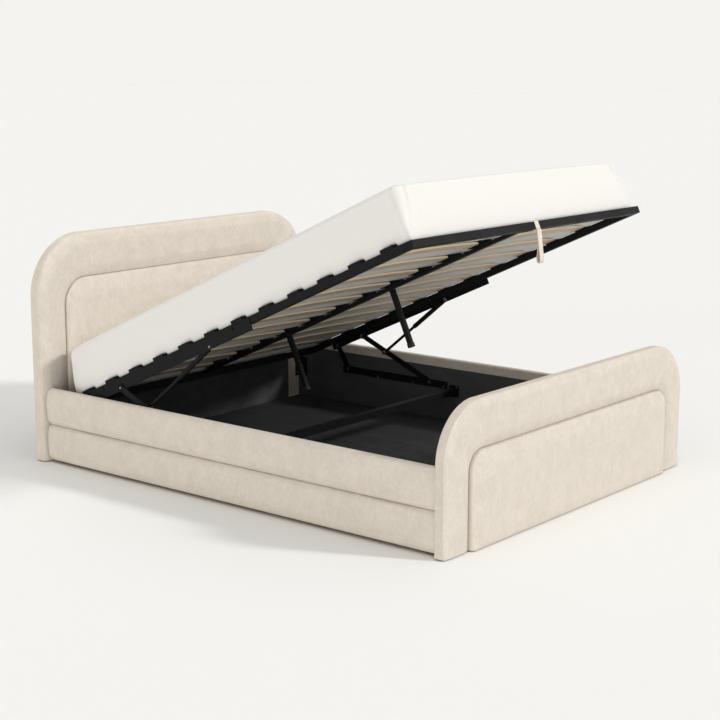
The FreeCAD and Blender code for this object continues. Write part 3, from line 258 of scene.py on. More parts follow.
class StudioSettings(bpy.types.PropertyGroup):
    """Camera, light and floor of the studio."""

    camera_place: FloatVectorProperty(name="Camera place", description="Where the camera stands", size=3,
                                      default=(-5.2067, -4.2762, 1.7881), subtype="TRANSLATION",
                                      unit="LENGTH")
    camera_turn: angle_property("Camera turn", -50.684, "Heading of the camera, from the head end")
    camera_dip: angle_property("Camera dip", 11.107, "How far the camera looks down")
    lens: FloatProperty(name="Lens", description="Focal length in millimetres on a 36 mm sensor",
                        default=78.53, min=10.0, max=300.0)
    key_heading: angle_property("Key heading", 25.4, "Side that the key light comes from")
    key_height: angle_property("Key height", 29.0, "Height of the key light over the horizon")
    key_spread: angle_property("Key spread", 7.0, "Size of the key light as an angle")
    key_strength: strength_property("Key strength", 1.9, "Strength of the key light")
    side_heading: angle_property("Side heading", -76.0, "Side that the light off the floor comes from")
    side_height: angle_property("Side height", -3.0, "Height of the light off the floor, under the horizon")
    side_spread: angle_property("Side spread", 40.0, "Size of the light off the floor as an angle")
    side_strength: strength_property("Side strength", 1.45, "Strength of the light off the floor")
    top_heading: angle_property("Top heading", 0.0, "Side that the light from above leans to")
    top_height: angle_property("Top height", 84.0, "Height of the light from above over the horizon")
    top_spread: angle_property("Top spread", 90.0, "Size of the light from above as an angle")
    top_strength: strength_property("Top strength", 1.6, "Strength of the light from above")
    room_light: strength_property("Room light", 0.36, "Light from all sides")
    backdrop: colour_property("Backdrop", (0.905, 0.896, 0.863), "Colour behind the bed")
    floor: colour_property("Floor", (0.768, 0.760, 0.733), "Colour of the floor")


# Meshes from grids of points


def quads_of(rows, columns, first, wrap):
    """Corner numbers of a grid's quads. Numbering starts at first, and wrap closes the columns."""
    numbers = first + np.arange(rows * columns).reshape(rows, columns)
    if wrap:
        numbers = np.hstack([numbers, numbers[:, :1]])
    corners = (numbers[:-1, :-1], numbers[1:, :-1], numbers[1:, 1:], numbers[:-1, 1:])
    return np.stack(corners, axis=-1).reshape(-1, 4)


def make_piece(name, grids, ends=False):
    """One closed mesh from grids, each given as its points and whether its columns close.

    With ends, the first and the last row of each grid get a face. Doubles are merged and the faces are
    turned outwards.
    """
    points = []
    faces = []
    first = 0
    for grid, wrap in grids:
        rows, columns = grid.shape[:2]
        points.append(grid.reshape(-1, 3))
        faces += quads_of(rows, columns, first, wrap).tolist()
        if ends:
            loop = first + np.arange(columns)
            faces.append(loop.tolist())
            faces.append((loop + (rows - 1) * columns).tolist())
        first += rows * columns
    mesh = bpy.data.meshes.new(name)
    mesh.from_pydata(np.concatenate(points).tolist(), [], faces)
    work = bmesh.new()
    work.from_mesh(mesh)
    bmesh.ops.remove_doubles(work, verts=work.verts, dist=MERGE_DISTANCE)
    bmesh.ops.dissolve_degenerate(work, edges=work.edges, dist=MERGE_DISTANCE)
    bmesh.ops.recalc_face_normals(work, faces=work.faces)
    work.to_mesh(mesh)
    work.free()
    mesh.shade_smooth()
    mesh.set_sharp_from_angle(angle=SHARP_ANGLE)
    piece = bpy.data.objects.new(name, mesh)
    bpy.context.scene.collection.objects.link(piece)
    return piece


def dress(piece, material, body, nodes):
    """Give a piece its finish, and say which body carries it and which solids it stands for."""
    piece.data.materials.clear()
    piece.data.materials.append(material)
    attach(piece, body)
    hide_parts(*nodes)
    return piece


def finish_nodes(names, material):
    """Give CAD nodes a finish through their own material slots."""
    for name in names:
        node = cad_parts[name]
        if not node.material_slots:
            node.data.materials.append(material)
        for place in node.material_slots:
            place.material = material


def fill_pieces(rows, pressure=4.0, frames=20):
    """Swell padded pieces by a short cloth simulation, and keep the result in their meshes.

    A row gives a piece, the axis and side that its show face looks to, the depth behind that face from
    which the cloth is held, and the most that it may move. Its bottom edge is held too. The cloth is blown
    up with gravity off. A point's move keeps its direction, and its length is the cap times the hyperbolic
    tangent of the length over the cap.
    """
    scene = bpy.context.scene
    starts = []
    for name, axis, side, held_depth, cap in rows:
        piece = bpy.data.objects[name]
        rest = mesh_points(piece.data)
        out = side * rest[:, axis]
        held = (out < out.max() - held_depth) | (rest[:, 2] < rest[:, 2].min() + HELD_FOOT)
        group = piece.vertex_groups.new(name="held")
        group.add(np.flatnonzero(held).tolist(), 1.0, "REPLACE")
        cloth = piece.modifiers.new("Filling", "CLOTH")
        cloth.settings.quality = 4
        cloth.settings.mass = 0.3
        cloth.settings.tension_stiffness = 20.0
        cloth.settings.compression_stiffness = 20.0
        cloth.settings.bending_stiffness = 2.0
        cloth.settings.use_pressure = True
        cloth.settings.uniform_pressure_force = pressure
        cloth.settings.vertex_group_mass = group.name
        cloth.settings.effector_weights.gravity = 0.0
        cloth.collision_settings.use_collision = False
        cloth.point_cache.frame_start = 1
        cloth.point_cache.frame_end = frames
        starts.append((piece, rest, cap))
    for number in range(1, frames + 1):
        scene.frame_set(number)
    view = bpy.context.evaluated_depsgraph_get()
    for piece, rest, cap in starts:
        blown = piece.evaluated_get(view)
        move = mesh_points(blown.to_mesh()) - rest
        blown.to_mesh_clear()
        length = np.maximum(np.linalg.norm(move, axis=1, keepdims=True), SMALLEST)
        move = move / length * cap * np.tanh(length / cap)
        piece.modifiers.clear()
        piece.vertex_groups.clear()
        piece.data.vertices.foreach_set("co", (rest + move).ravel())
        piece.data.update()
    scene.frame_set(1)


# Shapes


def arch_line(half, low, high, radius, counts=(30, 30, 40)):
    """Points and outward directions along an arch, from its left foot over the top to its right foot.

    On the right half the top is level, the corner is centre + radius * (sine, cosine) of an angle from 0 to
    a quarter turn, and the side runs straight down. The left half is its mirror image.
    """
    side, corner, top = counts
    inner = half - radius
    shoulder = high - radius
    turn = np.linspace(0.0, np.pi / 2, corner)
    reach = np.linspace(0.0, 1.0, top, endpoint=False)
    fall = np.linspace(0.0, 1.0, side)[1:]
    across = np.concatenate([inner * reach, inner + radius * np.sin(turn), np.full(side - 1, half)])
    height = np.concatenate([np.full(top, high), shoulder + radius * np.cos(turn),
                             shoulder - fall * (shoulder - low)])
    out_x = np.concatenate([np.zeros(top), np.sin(turn), np.ones(side - 1)])
    out_z = np.concatenate([np.ones(top), np.cos(turn), np.zeros(side - 1)])
    right = np.stack([across, height], axis=-1)
    right_out = np.stack([out_x, out_z], axis=-1)
    mirror = np.array([-1.0, 1.0])
    line = np.concatenate([right[:0:-1] * mirror, right])
    out = np.concatenate([right_out[:0:-1] * mirror, right_out])
    return line, out


def stacked_rows(parts):
    """Rows of points from parts that follow each other. A part gives each column as a number or an array."""
    rows = []
    for part in parts:
        rows.append(np.stack(np.broadcast_arrays(*part), axis=-1).reshape(-1, len(part)))
    return np.concatenate(rows)


def border_profile(sizes, depth, edge_roll):
    """Closed profile of a padded border, as columns of share, inner offset, outer offset and depth.

    A point lies at the share between a place off the inner arch and a place off the outer arch. From the
    seam the profile rises on a short quarter ellipse and a long parabola, crosses the face, falls on a
    parabola along the shoulder and on a quarter circle round the edge, and runs back along the side past a
    groove shaped like a bell curve. Behind, it leaves room for the wooden core.
    """
    fall = np.linspace(0.0, 1.0, 13)[1:]
    cross = np.linspace(0.0, 1.0, 26)[1:]
    side_start = sizes.shoulder_drop + edge_roll
    groove_place = side_start + 2.5 * sizes.stitch_depth
    groove_end = groove_place + 6 * sizes.stitch_depth
    side_depth = np.concatenate([np.linspace(side_start, groove_end, 22)[1:],
                                 np.linspace(groove_end, depth, 9)[1:]])
    groove = -sizes.stitch_depth * np.exp(-((side_depth - groove_place) / sizes.stitch_depth) ** 2)
    core_front = depth - sizes.core_thickness
    rise = np.linspace(0.0, 1.0, 26) ** 2
    seam_in = sizes.seam_reach * rise
    seam_depth = (1 - LIP_DROP_SHARE) * sizes.seam_drop * (1 - rise) ** 2
    seam_depth = seam_depth + rounded_fall(seam_in, LIP_REACH_SHARE * sizes.seam_reach,
                                           LIP_DROP_SHARE * sizes.seam_drop)
    shoulder_out = -sizes.shoulder_reach + fall * (sizes.shoulder_reach - edge_roll)
    roll_out = -edge_roll * (1 - np.sin(QUARTER[1:]))
    roll_depth = sizes.shoulder_drop + edge_roll * (1 - np.cos(QUARTER[1:]))
    return stacked_rows((
        (0.0, seam_in, 0.0, seam_depth),
        (cross, sizes.seam_reach, -sizes.shoulder_reach, 0.0),
        (1.0, 0.0, shoulder_out, sizes.shoulder_drop * fall ** 2),
        (1.0, 0.0, roll_out, roll_depth),
        (1.0, 0.0, groove, side_depth),
        (1.0, 0.0, -sizes.core_wrap, depth),
        (np.linspace(1.0, 0.0, 12), 0.0, -sizes.core_wrap, core_front),
        (0.0, 0.0, 0.0, np.linspace(core_front, sizes.seam_drop, 8)[1:-1]),
    )).T


def border_surface(inner, outer, profile, face):
    """A border's points: its profile carried along the matching places of an inner and an outer arch."""
    share, in_offset, out_offset, depth = profile
    inner_line, inner_out = inner
    outer_line, outer_out = outer
    inside = inner_line[:, None, :] + inner_out[:, None, :] * in_offset[None, :, None]
    outside = outer_line[:, None, :] + outer_out[:, None, :] * out_offset[None, :, None]
    flat = inside * (1 - share)[None, :, None] + outside * share[None, :, None]
    points = np.empty(flat.shape[:2] + (3,))
    points[..., 0] = flat[..., 0]
    points[..., 1] = face + depth[None, :]
    points[..., 2] = flat[..., 1]
    return points


def arch_field(half, low, high, radius, rows=66):
    """A grid over an arch: its X, its Z, and each point's distance from the arch and from the bottom.

    X runs evenly over the level top and by equal angles over the corners. Z runs from the bottom to the
    arch's own edge above that X in cosine steps, which crowd at both ends.
    """
    inner = half - radius
    turn = np.linspace(0.0, np.pi / 2, 25)
    right = np.concatenate([np.linspace(0.0, inner, 44, endpoint=False), inner + radius * np.sin(turn)])
    across = np.concatenate([-right[:0:-1], right])
    past = np.clip(np.abs(across) - inner, 0.0, radius)
    edge = high - radius + np.sqrt(radius ** 2 - past ** 2)
    rise = (1 - np.cos(np.linspace(0.0, np.pi, rows))) / 2
    x = np.repeat(across[:, None], rows, axis=1)
    z = low + rise[None, :] * (edge - low)[:, None]
    over_x = np.abs(x) - inner
    over_z = z - (high - radius)
    in_corner = (over_x > 0) & (over_z > 0)
    straight = np.minimum(half - np.abs(x), high - z)
    rounded = radius - np.hypot(np.maximum(over_x, 0), np.maximum(over_z, 0))
    return x, z, np.maximum(np.where(in_corner, rounded, straight), 0.0), z - low


def rim_of(points):
    """The points round the edge of a grid, in order and each once."""
    return np.concatenate([points[0, :-1], points[:-1, -1], points[-1, :0:-1], points[:0:-1, 0]])


def slab_grids(x, z, front, back, rows=4):
    """Front, back and rim of a closed slab over a grid of X and Z, from its front and back Y."""
    front_points = np.stack([x, front, z], axis=-1)
    back_points = np.stack([x, np.broadcast_to(back, x.shape), z], axis=-1)
    share = np.linspace(0.0, 1.0, rows)[:, None, None]
    rim = rim_of(front_points)[None] * (1 - share) + rim_of(back_points)[None] * share
    return [(front_points, False), (back_points, False), (rim, True)]


def ease(value, start, end):
    """Nought to one between two values, level at both ends."""
    share = np.clip((value - start) / (end - start), 0, 1)
    return share * share * (3 - 2 * share)


def rounded_fall(distance, reach, drop):
    """Depth of a quarter ellipse that falls by drop within a reach of an edge."""
    share = np.clip(distance / reach, 0.0, 1.0)
    return drop * (1 - np.sqrt(np.clip(1 - (1 - share) ** 2, 0.0, 1.0)))


def panel_grids(box, corner, sizes):
    """A raised panel before it is filled: crowned, and rounded off on a quarter ellipse at its arch.

    Along its foot, away from the arch, the rounding is an eighth as large.
    """
    low, high = box
    x, z, edge, foot = arch_field(high[0], low[2], high[2], corner)
    front = low[1] + sizes.panel_fill + rounded_fall(edge, sizes.panel_reach, sizes.panel_drop)
    foot_fall = rounded_fall(foot, sizes.panel_reach / 8, sizes.panel_drop / 8)
    front = front + foot_fall * (edge > sizes.panel_reach)
    across = 1 - (x / high[0]) ** 2
    upright = np.sin(np.pi * (z - low[2]) / (high[2] - low[2])) ** 0.7
    front = front - sizes.panel_crown * across * np.clip(upright, 0, 1)
    return slab_grids(x, z, front, high[1])


def sheet_grids(box, corner, soft=0.0015):
    """A thin cloth over a whole board, its two faces rounded off at the arch."""
    low, high = box
    x, z, edge, foot = arch_field(high[0], low[2], high[2], corner, rows=34)
    fall = rounded_fall(np.minimum(edge, foot + soft), 2 * soft, soft * 0.8)
    return slab_grids(x, z, low[1] + fall, high[1] - fall, rows=2)


def board_arches(border_node, panel_node):
    """Half width, foot and top of a border's outer arch, and of its opening, a seam wider than its panel."""
    low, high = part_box(border_node)
    panel_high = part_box(panel_node)[1]
    return (high[0], low[2], high[2]), (panel_high[0] + SEAM_GAP, low[2], panel_high[2] + SEAM_GAP)


def end_draw(places, start, end, reach, draw):
    """How far a channel is drawn in along its length: a quarter ellipse within a reach of each end."""
    distance = np.minimum(places - start, end - places)
    return rounded_fall(distance, reach, draw)


def rail_places(start, end, reach):
    """Places along a rail, crowded at both ends on a cosine and even between."""
    close = reach * (1 - np.cos(QUARTER))
    middle = np.linspace(start + reach, end - reach, 72)[1:-1]
    return np.concatenate([start + close, middle, (end - close)[::-1]])


def upper_section(sizes, inside, core_in, core_out, outside, flap, core_top, top, seam):
    """Closed section of the upper channel: inner flap, round top, swollen face and the fall into the seam.

    Rows are X, Z and how the point moves, across and up, when the channel is drawn in by one metre. The
    roundings are quarter ellipses, and the top and the face swell by a sine.
    """
    soft = sizes.channel_round
    inner = sizes.flap_round
    tall = TOP_STRETCH * soft
    face = outside - sizes.channel_crown - sizes.channel_fill
    share = np.linspace(0.0, 1.0, 16)[1:]
    swell = np.sin(np.pi * share)
    sine = np.sin(QUARTER[1:])
    cosine = np.cos(QUARTER[1:])
    high = top - tall
    low = seam + soft
    return stacked_rows((
        (inside, np.linspace(flap, top - inner, 6), 0.0, 0.0),
        (inside + inner * (1 - cosine), top - inner * (1 - sine), 0.0, 0.0),
        (inside + inner + share * (face - soft - inside - inner), top + TOP_CROWN * swell, 0.0, -share),
        (face - soft * (1 - sine), top - tall * (1 - cosine), -sine, -1.0),
        (face + sizes.channel_crown * swell, high + share * (low - high), -1.0, 2 * share - 1),
        (face - soft * (1 - cosine), seam + soft * (1 - sine), -cosine, 1.0),
        (np.linspace(face - soft, core_out, 4)[1:], seam, 0.0, 1.0),
        (core_out, np.linspace(seam, core_top, 8)[1:], 0.0, np.linspace(1.0, 0.0, 8)[1:]),
        (np.linspace(core_out, core_in, 4)[1:], core_top, 0.0, 0.0),
        (core_in, np.linspace(core_top, flap, 4)[1:], 0.0, 0.0),
    ))


def lower_section(sizes, core_out, outside, low, seam):
    """Closed section of the lower channel: the fall into the seam, a swollen face and the round bottom.

    Rows are X, Z and how the point moves, across and up, when the channel is drawn in by one metre. The
    roundings are quarter circles, and the face swells by a sine.
    """
    soft = sizes.channel_round
    face = outside - sizes.channel_crown - sizes.channel_fill
    share = np.linspace(0.0, 1.0, 16)[1:]
    swell = sizes.channel_crown * np.sin(np.pi * share)
    sine = np.sin(QUARTER[1:])
    cosine = np.cos(QUARTER[1:])
    high_face = seam - soft
    low_face = low + soft
    return stacked_rows((
        (np.linspace(core_out, face - soft, 4), seam, 0.0, -1.0),
        (face - soft * (1 - sine), seam - soft * (1 - cosine), -sine, -1.0),
        (face + swell, high_face + share * (low_face - high_face), -1.0, 2 * share - 1),
        (face - soft * (1 - cosine), low + soft * (1 - sine), -cosine, 1.0),
        (np.linspace(face - soft, core_out, 4)[1:], low, 0.0, 1.0),
        (core_out, np.linspace(low, seam, 8)[1:-1], 0.0, np.linspace(1.0, -1.0, 8)[1:-1]),
    ))


def channel_surface(section, places, draw, side):
    """A channel's points: its section carried along Y, each point moved by its pull times the draw there."""
    points = np.empty((places.size, section.shape[0], 3))
    points[..., 0] = side * (section[None, :, 0] + draw[:, None] * section[None, :, 2])
    points[..., 1] = places[:, None]
    points[..., 2] = section[None, :, 1] + draw[:, None] * section[None, :, 3]
    return points


def crowded(half, soft, count, near=0.0, edge_count=10):
    """Places from minus half to half that crowd within a soft width of both ends, and a little before it."""
    inner = half - soft - near
    middle = np.linspace(-inner, inner, count)
    close = inner + np.linspace(0.0, near, 19)[1:] if near else np.empty(0)
    edge = half - soft + soft * np.tan(np.linspace(0.0, np.pi / 4, edge_count))[1:]
    right = np.concatenate([close, edge])
    return np.concatenate([-right[::-1], middle, right])


def mattress_grids(sizes):
    """The six sides of a rounded box, swollen, crowned and creased, and laid on the platform.

    A point of the box is cut back to an inner box, and its offset from there is set to length one in
    units of the edge rounding, which rounds every edge and corner. The sides then swell by the sine of
    their height, the top rises as a product of parabolas, and each upright corner gets a fold each side of
    it, shaped like a bell curve.
    """
    start, end, low, high = platform_span("mattress")
    halves = (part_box("mattress")[1][0] - sizes.swell - WAVE_ROOM,
              (end - start) / 2 - sizes.swell + sizes.end_reach, (high - sizes.crown - low) / 2)
    places = (crowded(halves[0], sizes.corner_round, 34, near=FOLD_ROOM),
              crowded(halves[1], sizes.corner_round, 290, near=FOLD_ROOM),
              crowded(halves[2], max(sizes.top_round, sizes.head_round), 12))
    grids = []
    for axis in range(3):
        first, second = np.meshgrid(*(places[other] for other in range(3) if other != axis), indexing="ij")
        for sign in (-1.0, 1.0):
            box = [first, second]
            box.insert(axis, np.full(first.shape, sign * halves[axis]))
            points = soft_box(box, halves, sizes)
            grids.append((settle_mattress(points, halves, (start + end) / 2, low, sizes), False))
    return grids


def soft_box(box, halves, sizes):
    """Points of a box surface with its edges rounded, from three arrays of places.

    The upright corners open out with height, and the top edge is rounder towards the head end.
    """
    height = (box[2] + halves[2]) / (2 * halves[2])
    upright = sizes.corner_low + height * (sizes.corner_round - sizes.corner_low)
    headwards = ease(box[1], 0.5 * halves[1], halves[1])
    top_round = sizes.top_round + headwards * (sizes.head_round - sizes.top_round)
    cut = np.where(box[2] > 0, top_round, sizes.low_round)
    rounds = (upright, upright + headwards * height * (sizes.head_round - upright), cut)
    kept = [np.clip(value, soft - half, half - soft) for value, half, soft in zip(box, halves, rounds)]
    offsets = [np.clip((value - base) / soft, -1, 1) for value, base, soft in zip(box, kept, rounds)]
    size = np.maximum(np.sqrt(sum(offset ** 2 for offset in offsets)), SMALLEST)
    rounded = [base + soft * offset / size for base, offset, soft in zip(kept, offsets, rounds)]
    return np.stack(rounded, axis=-1)


def settle_mattress(points, halves, middle, low, sizes):
    """Swell, crown, arch and crease a rounded box, and place it on the platform.

    High powers of the share of the half width or half length tell the sides and the ends from the rest.
    """
    half_across, half_along, half_up = halves
    across, along, above = points[..., 0], points[..., 1], points[..., 2]
    height = np.clip((above + half_up) / (2 * half_up), 0, 1)
    bulge = np.sin(np.pi * height) ** 1.1
    near_side = np.clip(np.abs(across) / half_across, 0, 1) ** 24
    near_end = np.clip(np.abs(along) / half_along, 0, 1) ** 32
    from_corner = np.where(near_side > near_end, half_along - np.abs(along), half_across - np.abs(across))
    fold_place = FOLD_START + sizes.corner_low + height * (sizes.corner_round - sizes.corner_low)
    fold = np.exp(-((from_corner - fold_place) / FOLD_WIDTH) ** 2) * height ** 0.5
    cover = bulge * cover_wave(across, along, above) - sizes.crease * fold
    side_out = sizes.swell * bulge * (1 - 0.75 * near_end) + cover
    side_out = side_out + sizes.overhang * (1 - ease(height, 0.15, 0.8))
    end_out = sizes.swell * bulge * (1 - 0.75 * near_side) + cover
    full_across = across + np.sign(across) * near_side * side_out
    full_along = middle + along + np.sign(along) * near_end * end_out
    rise = sizes.crown * (1 - (across / half_across) ** 2) * (1 - 0.6 * (along / half_along) ** 2)
    rise = np.clip(rise, 0, None) * np.clip(2 * height - 1, 0, 1)
    under = mattress_underside(across / half_across, middle + along, np.abs(full_across), low, sizes)
    under = under * np.clip(1 - 2 * height, 0, 1)
    return on_platform(full_across, full_along, low + half_up + above + rise + under)


def cover_wave(across, along, above):
    """Faint waves of a tight cover: a sine along and a sine across, each shifted by a sine of the height."""
    along_wave = 0.0012 * np.sin(along * 9.1 + 1.3 * np.sin(above * 22.0))
    across_wave = 0.0010 * np.sin(across * 11.3 + 0.7 + 1.1 * np.sin(above * 19.0))
    return along_wave + across_wave


def mattress_underside(share, place, reach, low, sizes):
    """How far the underside rises or sinks at a share of the half width and a place along the platform.

    It follows the bow of the slats, a parabola over each of their two columns. Near the long edges, by the
    reach from the middle, it goes over the slat holders and settles on the tubes between them, and past the
    last slat at each end it hangs lower.
    """
    bow = SLAT_BOW * np.clip(1 - (2 * np.abs(share) - 1) ** 2, 0, None)
    first_slat, last_slat, pitch, half = slat_places("left_slat_caps")
    from_slat = np.abs((place - first_slat + pitch / 2) % pitch - pitch / 2)
    past_slats = np.maximum(first_slat - place, place - last_slat)
    lip = ease(past_slats - half, *LIP_BLEND)
    between = ease(from_slat - half, *BETWEEN_BLEND)
    holder_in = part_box("right_slat_caps")[0][0]
    tube_drop = low - platform_span("right_side_tube")[3] - TUBE_CLEARANCE
    holder_rise = platform_span("right_slat_caps")[3] + HOLDER_CLEARANCE - low
    long_edge = ease(reach - holder_in, *LONG_EDGE_BLEND)
    on_holder = ease(reach - holder_in, *HOLDER_BLEND) * (1 - between)
    settle = long_edge * (between * tube_drop + (1 - between) * sizes.side_lip)
    under = bow * (1 - lip) - np.maximum(settle, lip * sizes.end_lip)
    return under * (1 - on_holder) + on_holder * holder_rise


def slat_places(name):
    """Middles of a node's first and last solid along the platform, their spacing and half width."""
    along = (node_points(name) - PLATFORM_CORNER) @ PLATFORM_ALONG
    edges = np.unique(np.round(along, 4))
    breaks = np.flatnonzero(np.diff(edges) > LEAST_SLAT_GAP)
    starts = np.concatenate([edges[:1], edges[breaks + 1]])
    ends = np.concatenate([edges[breaks], edges[-1:]])
    middles = (starts + ends) / 2
    return middles[0], middles[-1], np.diff(middles).mean(), (ends - starts).max() / 2


def webbing_profile(width, thickness):
    """Closed profile of flat webbing: a superellipse, flat across and round at its edges."""
    angle = np.linspace(0.0, 2 * np.pi, 24, endpoint=False)
    across = np.sign(np.cos(angle)) * np.abs(np.cos(angle)) ** 0.22 * width / 2
    through = np.sign(np.sin(angle)) * np.abs(np.sin(angle)) ** 0.7 * thickness / 2
    return across, through


def webbing_surface(line, profile):
    """Webbing carried along a line of Y and Z: its width lies along X and its thickness across the line."""
    across, through = profile
    run = np.gradient(line, axis=0)
    run = run / np.linalg.norm(run, axis=1, keepdims=True)
    out = np.stack([-run[:, 1], run[:, 0]], axis=-1)
    points = np.empty((line.shape[0], across.size, 3))
    points[..., 0] = across[None, :]
    points[..., 1] = line[:, :1] + out[:, :1] * through[None, :]
    points[..., 2] = line[:, 1:] + out[:, 1:] * through[None, :]
    return points


def loop_line(box, thickness, opening=0.62, slant=0.8, fade=3.0):
    """Line of the hanging loop.

    Its height is a cosine and its width is the sine times a high power of the half-angle sine, so the two
    strands lie together and open only near the bottom. It leaves the tube at a slant that fades away
    exponentially. Opening and slant are shares of the half depth that the loop has room for.
    """
    low, high = box
    middle = (low[1] + high[1]) / 2
    drop = high[2] - low[2] - thickness
    half = (high[1] - low[1]) / 2 - thickness
    angle = np.linspace(0.0, 2 * np.pi, 90)
    spread = np.sin(angle) * np.sin(angle / 2) ** 7
    spread = opening * spread / spread.max()
    share = (1 - np.cos(angle)) / 2
    lean = slant * half * (1 - np.exp(-fade * share)) / (1 - np.exp(-fade))
    y = middle - lean - thickness * 0.52 * np.cos(angle / 2) - half * spread
    z = high[2] - thickness * 0.1 - drop * share
    return np.stack([y, z], axis=-1)


def wrap_line(sizes, start, end, low, high):
    """Line of the band round the foot tube: over it, down its front and under it.

    Its two bends are quarter circles.
    """
    middle = sizes.thickness / 2
    bend = sizes.bend
    front = start + middle
    top = high - middle
    bottom = low + middle
    sine = bend * (1 - np.sin(QUARTER[1:]))
    cosine = bend * (1 - np.cos(QUARTER[1:]))
    line = stacked_rows((
        (np.linspace(end, front + bend, 12), top),
        (front + sine, top - cosine),
        (front, np.linspace(top - bend, bottom + bend, 14)[1:]),
        (front + cosine, bottom + sine),
        (np.linspace(front + bend, end, 12)[1:], bottom),
    ))
    return on_platform(0.0, line[:, 0], line[:, 1])[:, 1:]


# Materials


def add_node(tree, kind, **settings):
    """A new node with its settings."""
    node = tree.nodes.new(kind)
    for key, value in settings.items():
        setattr(node, key, value)
    return node


def set_inputs(node, **values):
    """Set a node's inputs, with underscores for the spaces in their names."""
    for key, value in values.items():
        node.inputs[key.replace("_", " ")].default_value = value
    return node


def new_group(name, inputs, outputs):
    """A shader node group with named sockets, and its two end nodes."""
    group = bpy.data.node_groups.new(name, "ShaderNodeTree")
    for label, kind, value in inputs:
        socket = group.interface.new_socket(name=label, in_out="INPUT", socket_type=kind)
        if value is not None:
            socket.default_value = value
    for label, kind in outputs:
        group.interface.new_socket(name=label, in_out="OUTPUT", socket_type=kind)
    return group, group.nodes.new("NodeGroupInput"), group.nodes.new("NodeGroupOutput")


def scaled_noise(tree, vector, stretch, scale, detail, roughness=0.5):
    """Noise over a stretched vector."""
    mapping = add_node(tree, "ShaderNodeMapping")
    mapping.inputs["Scale"].default_value = stretch
    tree.links.new(vector, mapping.inputs["Vector"])
    noise = add_node(tree, "ShaderNodeTexNoise")
    set_inputs(noise, Scale=scale, Detail=detail, Roughness=roughness)
    tree.links.new(mapping.outputs["Vector"], noise.inputs["Vector"])
    return noise.outputs["Fac"]


def spread_out(tree, value, low, high, out_low=0.0, out_high=1.0):
    """A value spread from one range to another, with soft ends."""
    node = add_node(tree, "ShaderNodeMapRange", interpolation_type="SMOOTHSTEP")
    set_inputs(node, From_Min=low, From_Max=high, To_Min=out_low, To_Max=out_high)
    tree.links.new(value, node.inputs["Value"])
    return node.outputs["Result"]


def combine(tree, operation, first, second):
    """Two values, or a value and a number, through one math operation."""
    node = add_node(tree, "ShaderNodeMath", operation=operation)
    for socket, value in zip(node.inputs, (first, second)):
        if isinstance(value, (int, float)):
            socket.default_value = value
        else:
            tree.links.new(value, socket)
    return node.outputs["Value"]


def blend_of(tree, *parts):
    """The sum of values, each times its own number."""
    total = 0.0
    for value, amount in parts:
        total = combine(tree, "ADD", total, combine(tree, "MULTIPLY", value, amount))
    return total


def mix_colours(tree, factor, first, second):
    """A colour between two by a factor. The colours are sockets or plain colours."""
    node = add_node(tree, "ShaderNodeMix", data_type="RGBA")
    tree.links.new(factor, node.inputs["Factor"])
    for socket, value in zip((node.inputs[6], node.inputs[7]), (first, second)):
        if isinstance(value, tuple):
            socket.default_value = value
        else:
            tree.links.new(value, socket)
    return node.outputs[2]


def opaque(colour):
    """A property's colour as red, green, blue and one."""
    return (colour[0], colour[1], colour[2], 1.0)


def pile_group():
    """Pile of chenille: broad patches where it lies one way or the other, a mottle and a fine fuzz."""
    group, start, end = new_group("Chenille pile", (("Vector", "NodeSocketVector", None),),
                                  (("Lie", "NodeSocketFloat"), ("Height", "NodeSocketFloat")))
    vector = start.outputs["Vector"]
    patches = spread_out(group, scaled_noise(group, vector, (1.0, 1.0, 0.72), 19.0, 5.0, 0.62), 0.34, 0.66)
    mottle = spread_out(group, scaled_noise(group, vector, (1.0, 1.0, 0.7), 80.0, 4.0, 0.68), 0.34, 0.66)
    fuzz = scaled_noise(group, vector, (1.0, 1.0, 0.7), 620.0, 2.0, 0.6)
    lie = blend_of(group, (patches, 0.42), (mottle, 0.44), (fuzz, 0.26))
    height = combine(group, "ADD", fuzz, combine(group, "MULTIPLY", mottle, 0.5))
    group.links.new(lie, end.inputs["Lie"])
    group.links.new(height, end.inputs["Height"])
    return group


def weave_group():
    """Plain weave: two crossed sets of thread waves, and the uneven thickness of the threads."""
    group, start, end = new_group("Plain weave", (("Vector", "NodeSocketVector", None),
                                                  ("Threads", "NodeSocketFloat", 300.0)),
                                  (("Shade", "NodeSocketFloat"), ("Height", "NodeSocketFloat")))
    waves = []
    for axis in ("X", "Y"):
        wave = add_node(group, "ShaderNodeTexWave", wave_type="BANDS", bands_direction=axis)
        set_inputs(wave, Distortion=0.6, Detail=1.0)
        group.links.new(start.outputs["Vector"], wave.inputs["Vector"])
        group.links.new(start.outputs["Threads"], wave.inputs["Scale"])
        waves.append(wave.outputs["Fac"])
    height = combine(group, "MULTIPLY", waves[0], waves[1])
    slub = scaled_noise(group, start.outputs["Vector"], (1.0, 1.0, 1.0), 38.0, 4.0)
    shade = blend_of(group, (height, 0.4), (slub, 0.6))
    group.links.new(shade, end.inputs["Shade"])
    group.links.new(height, end.inputs["Height"])
    return group


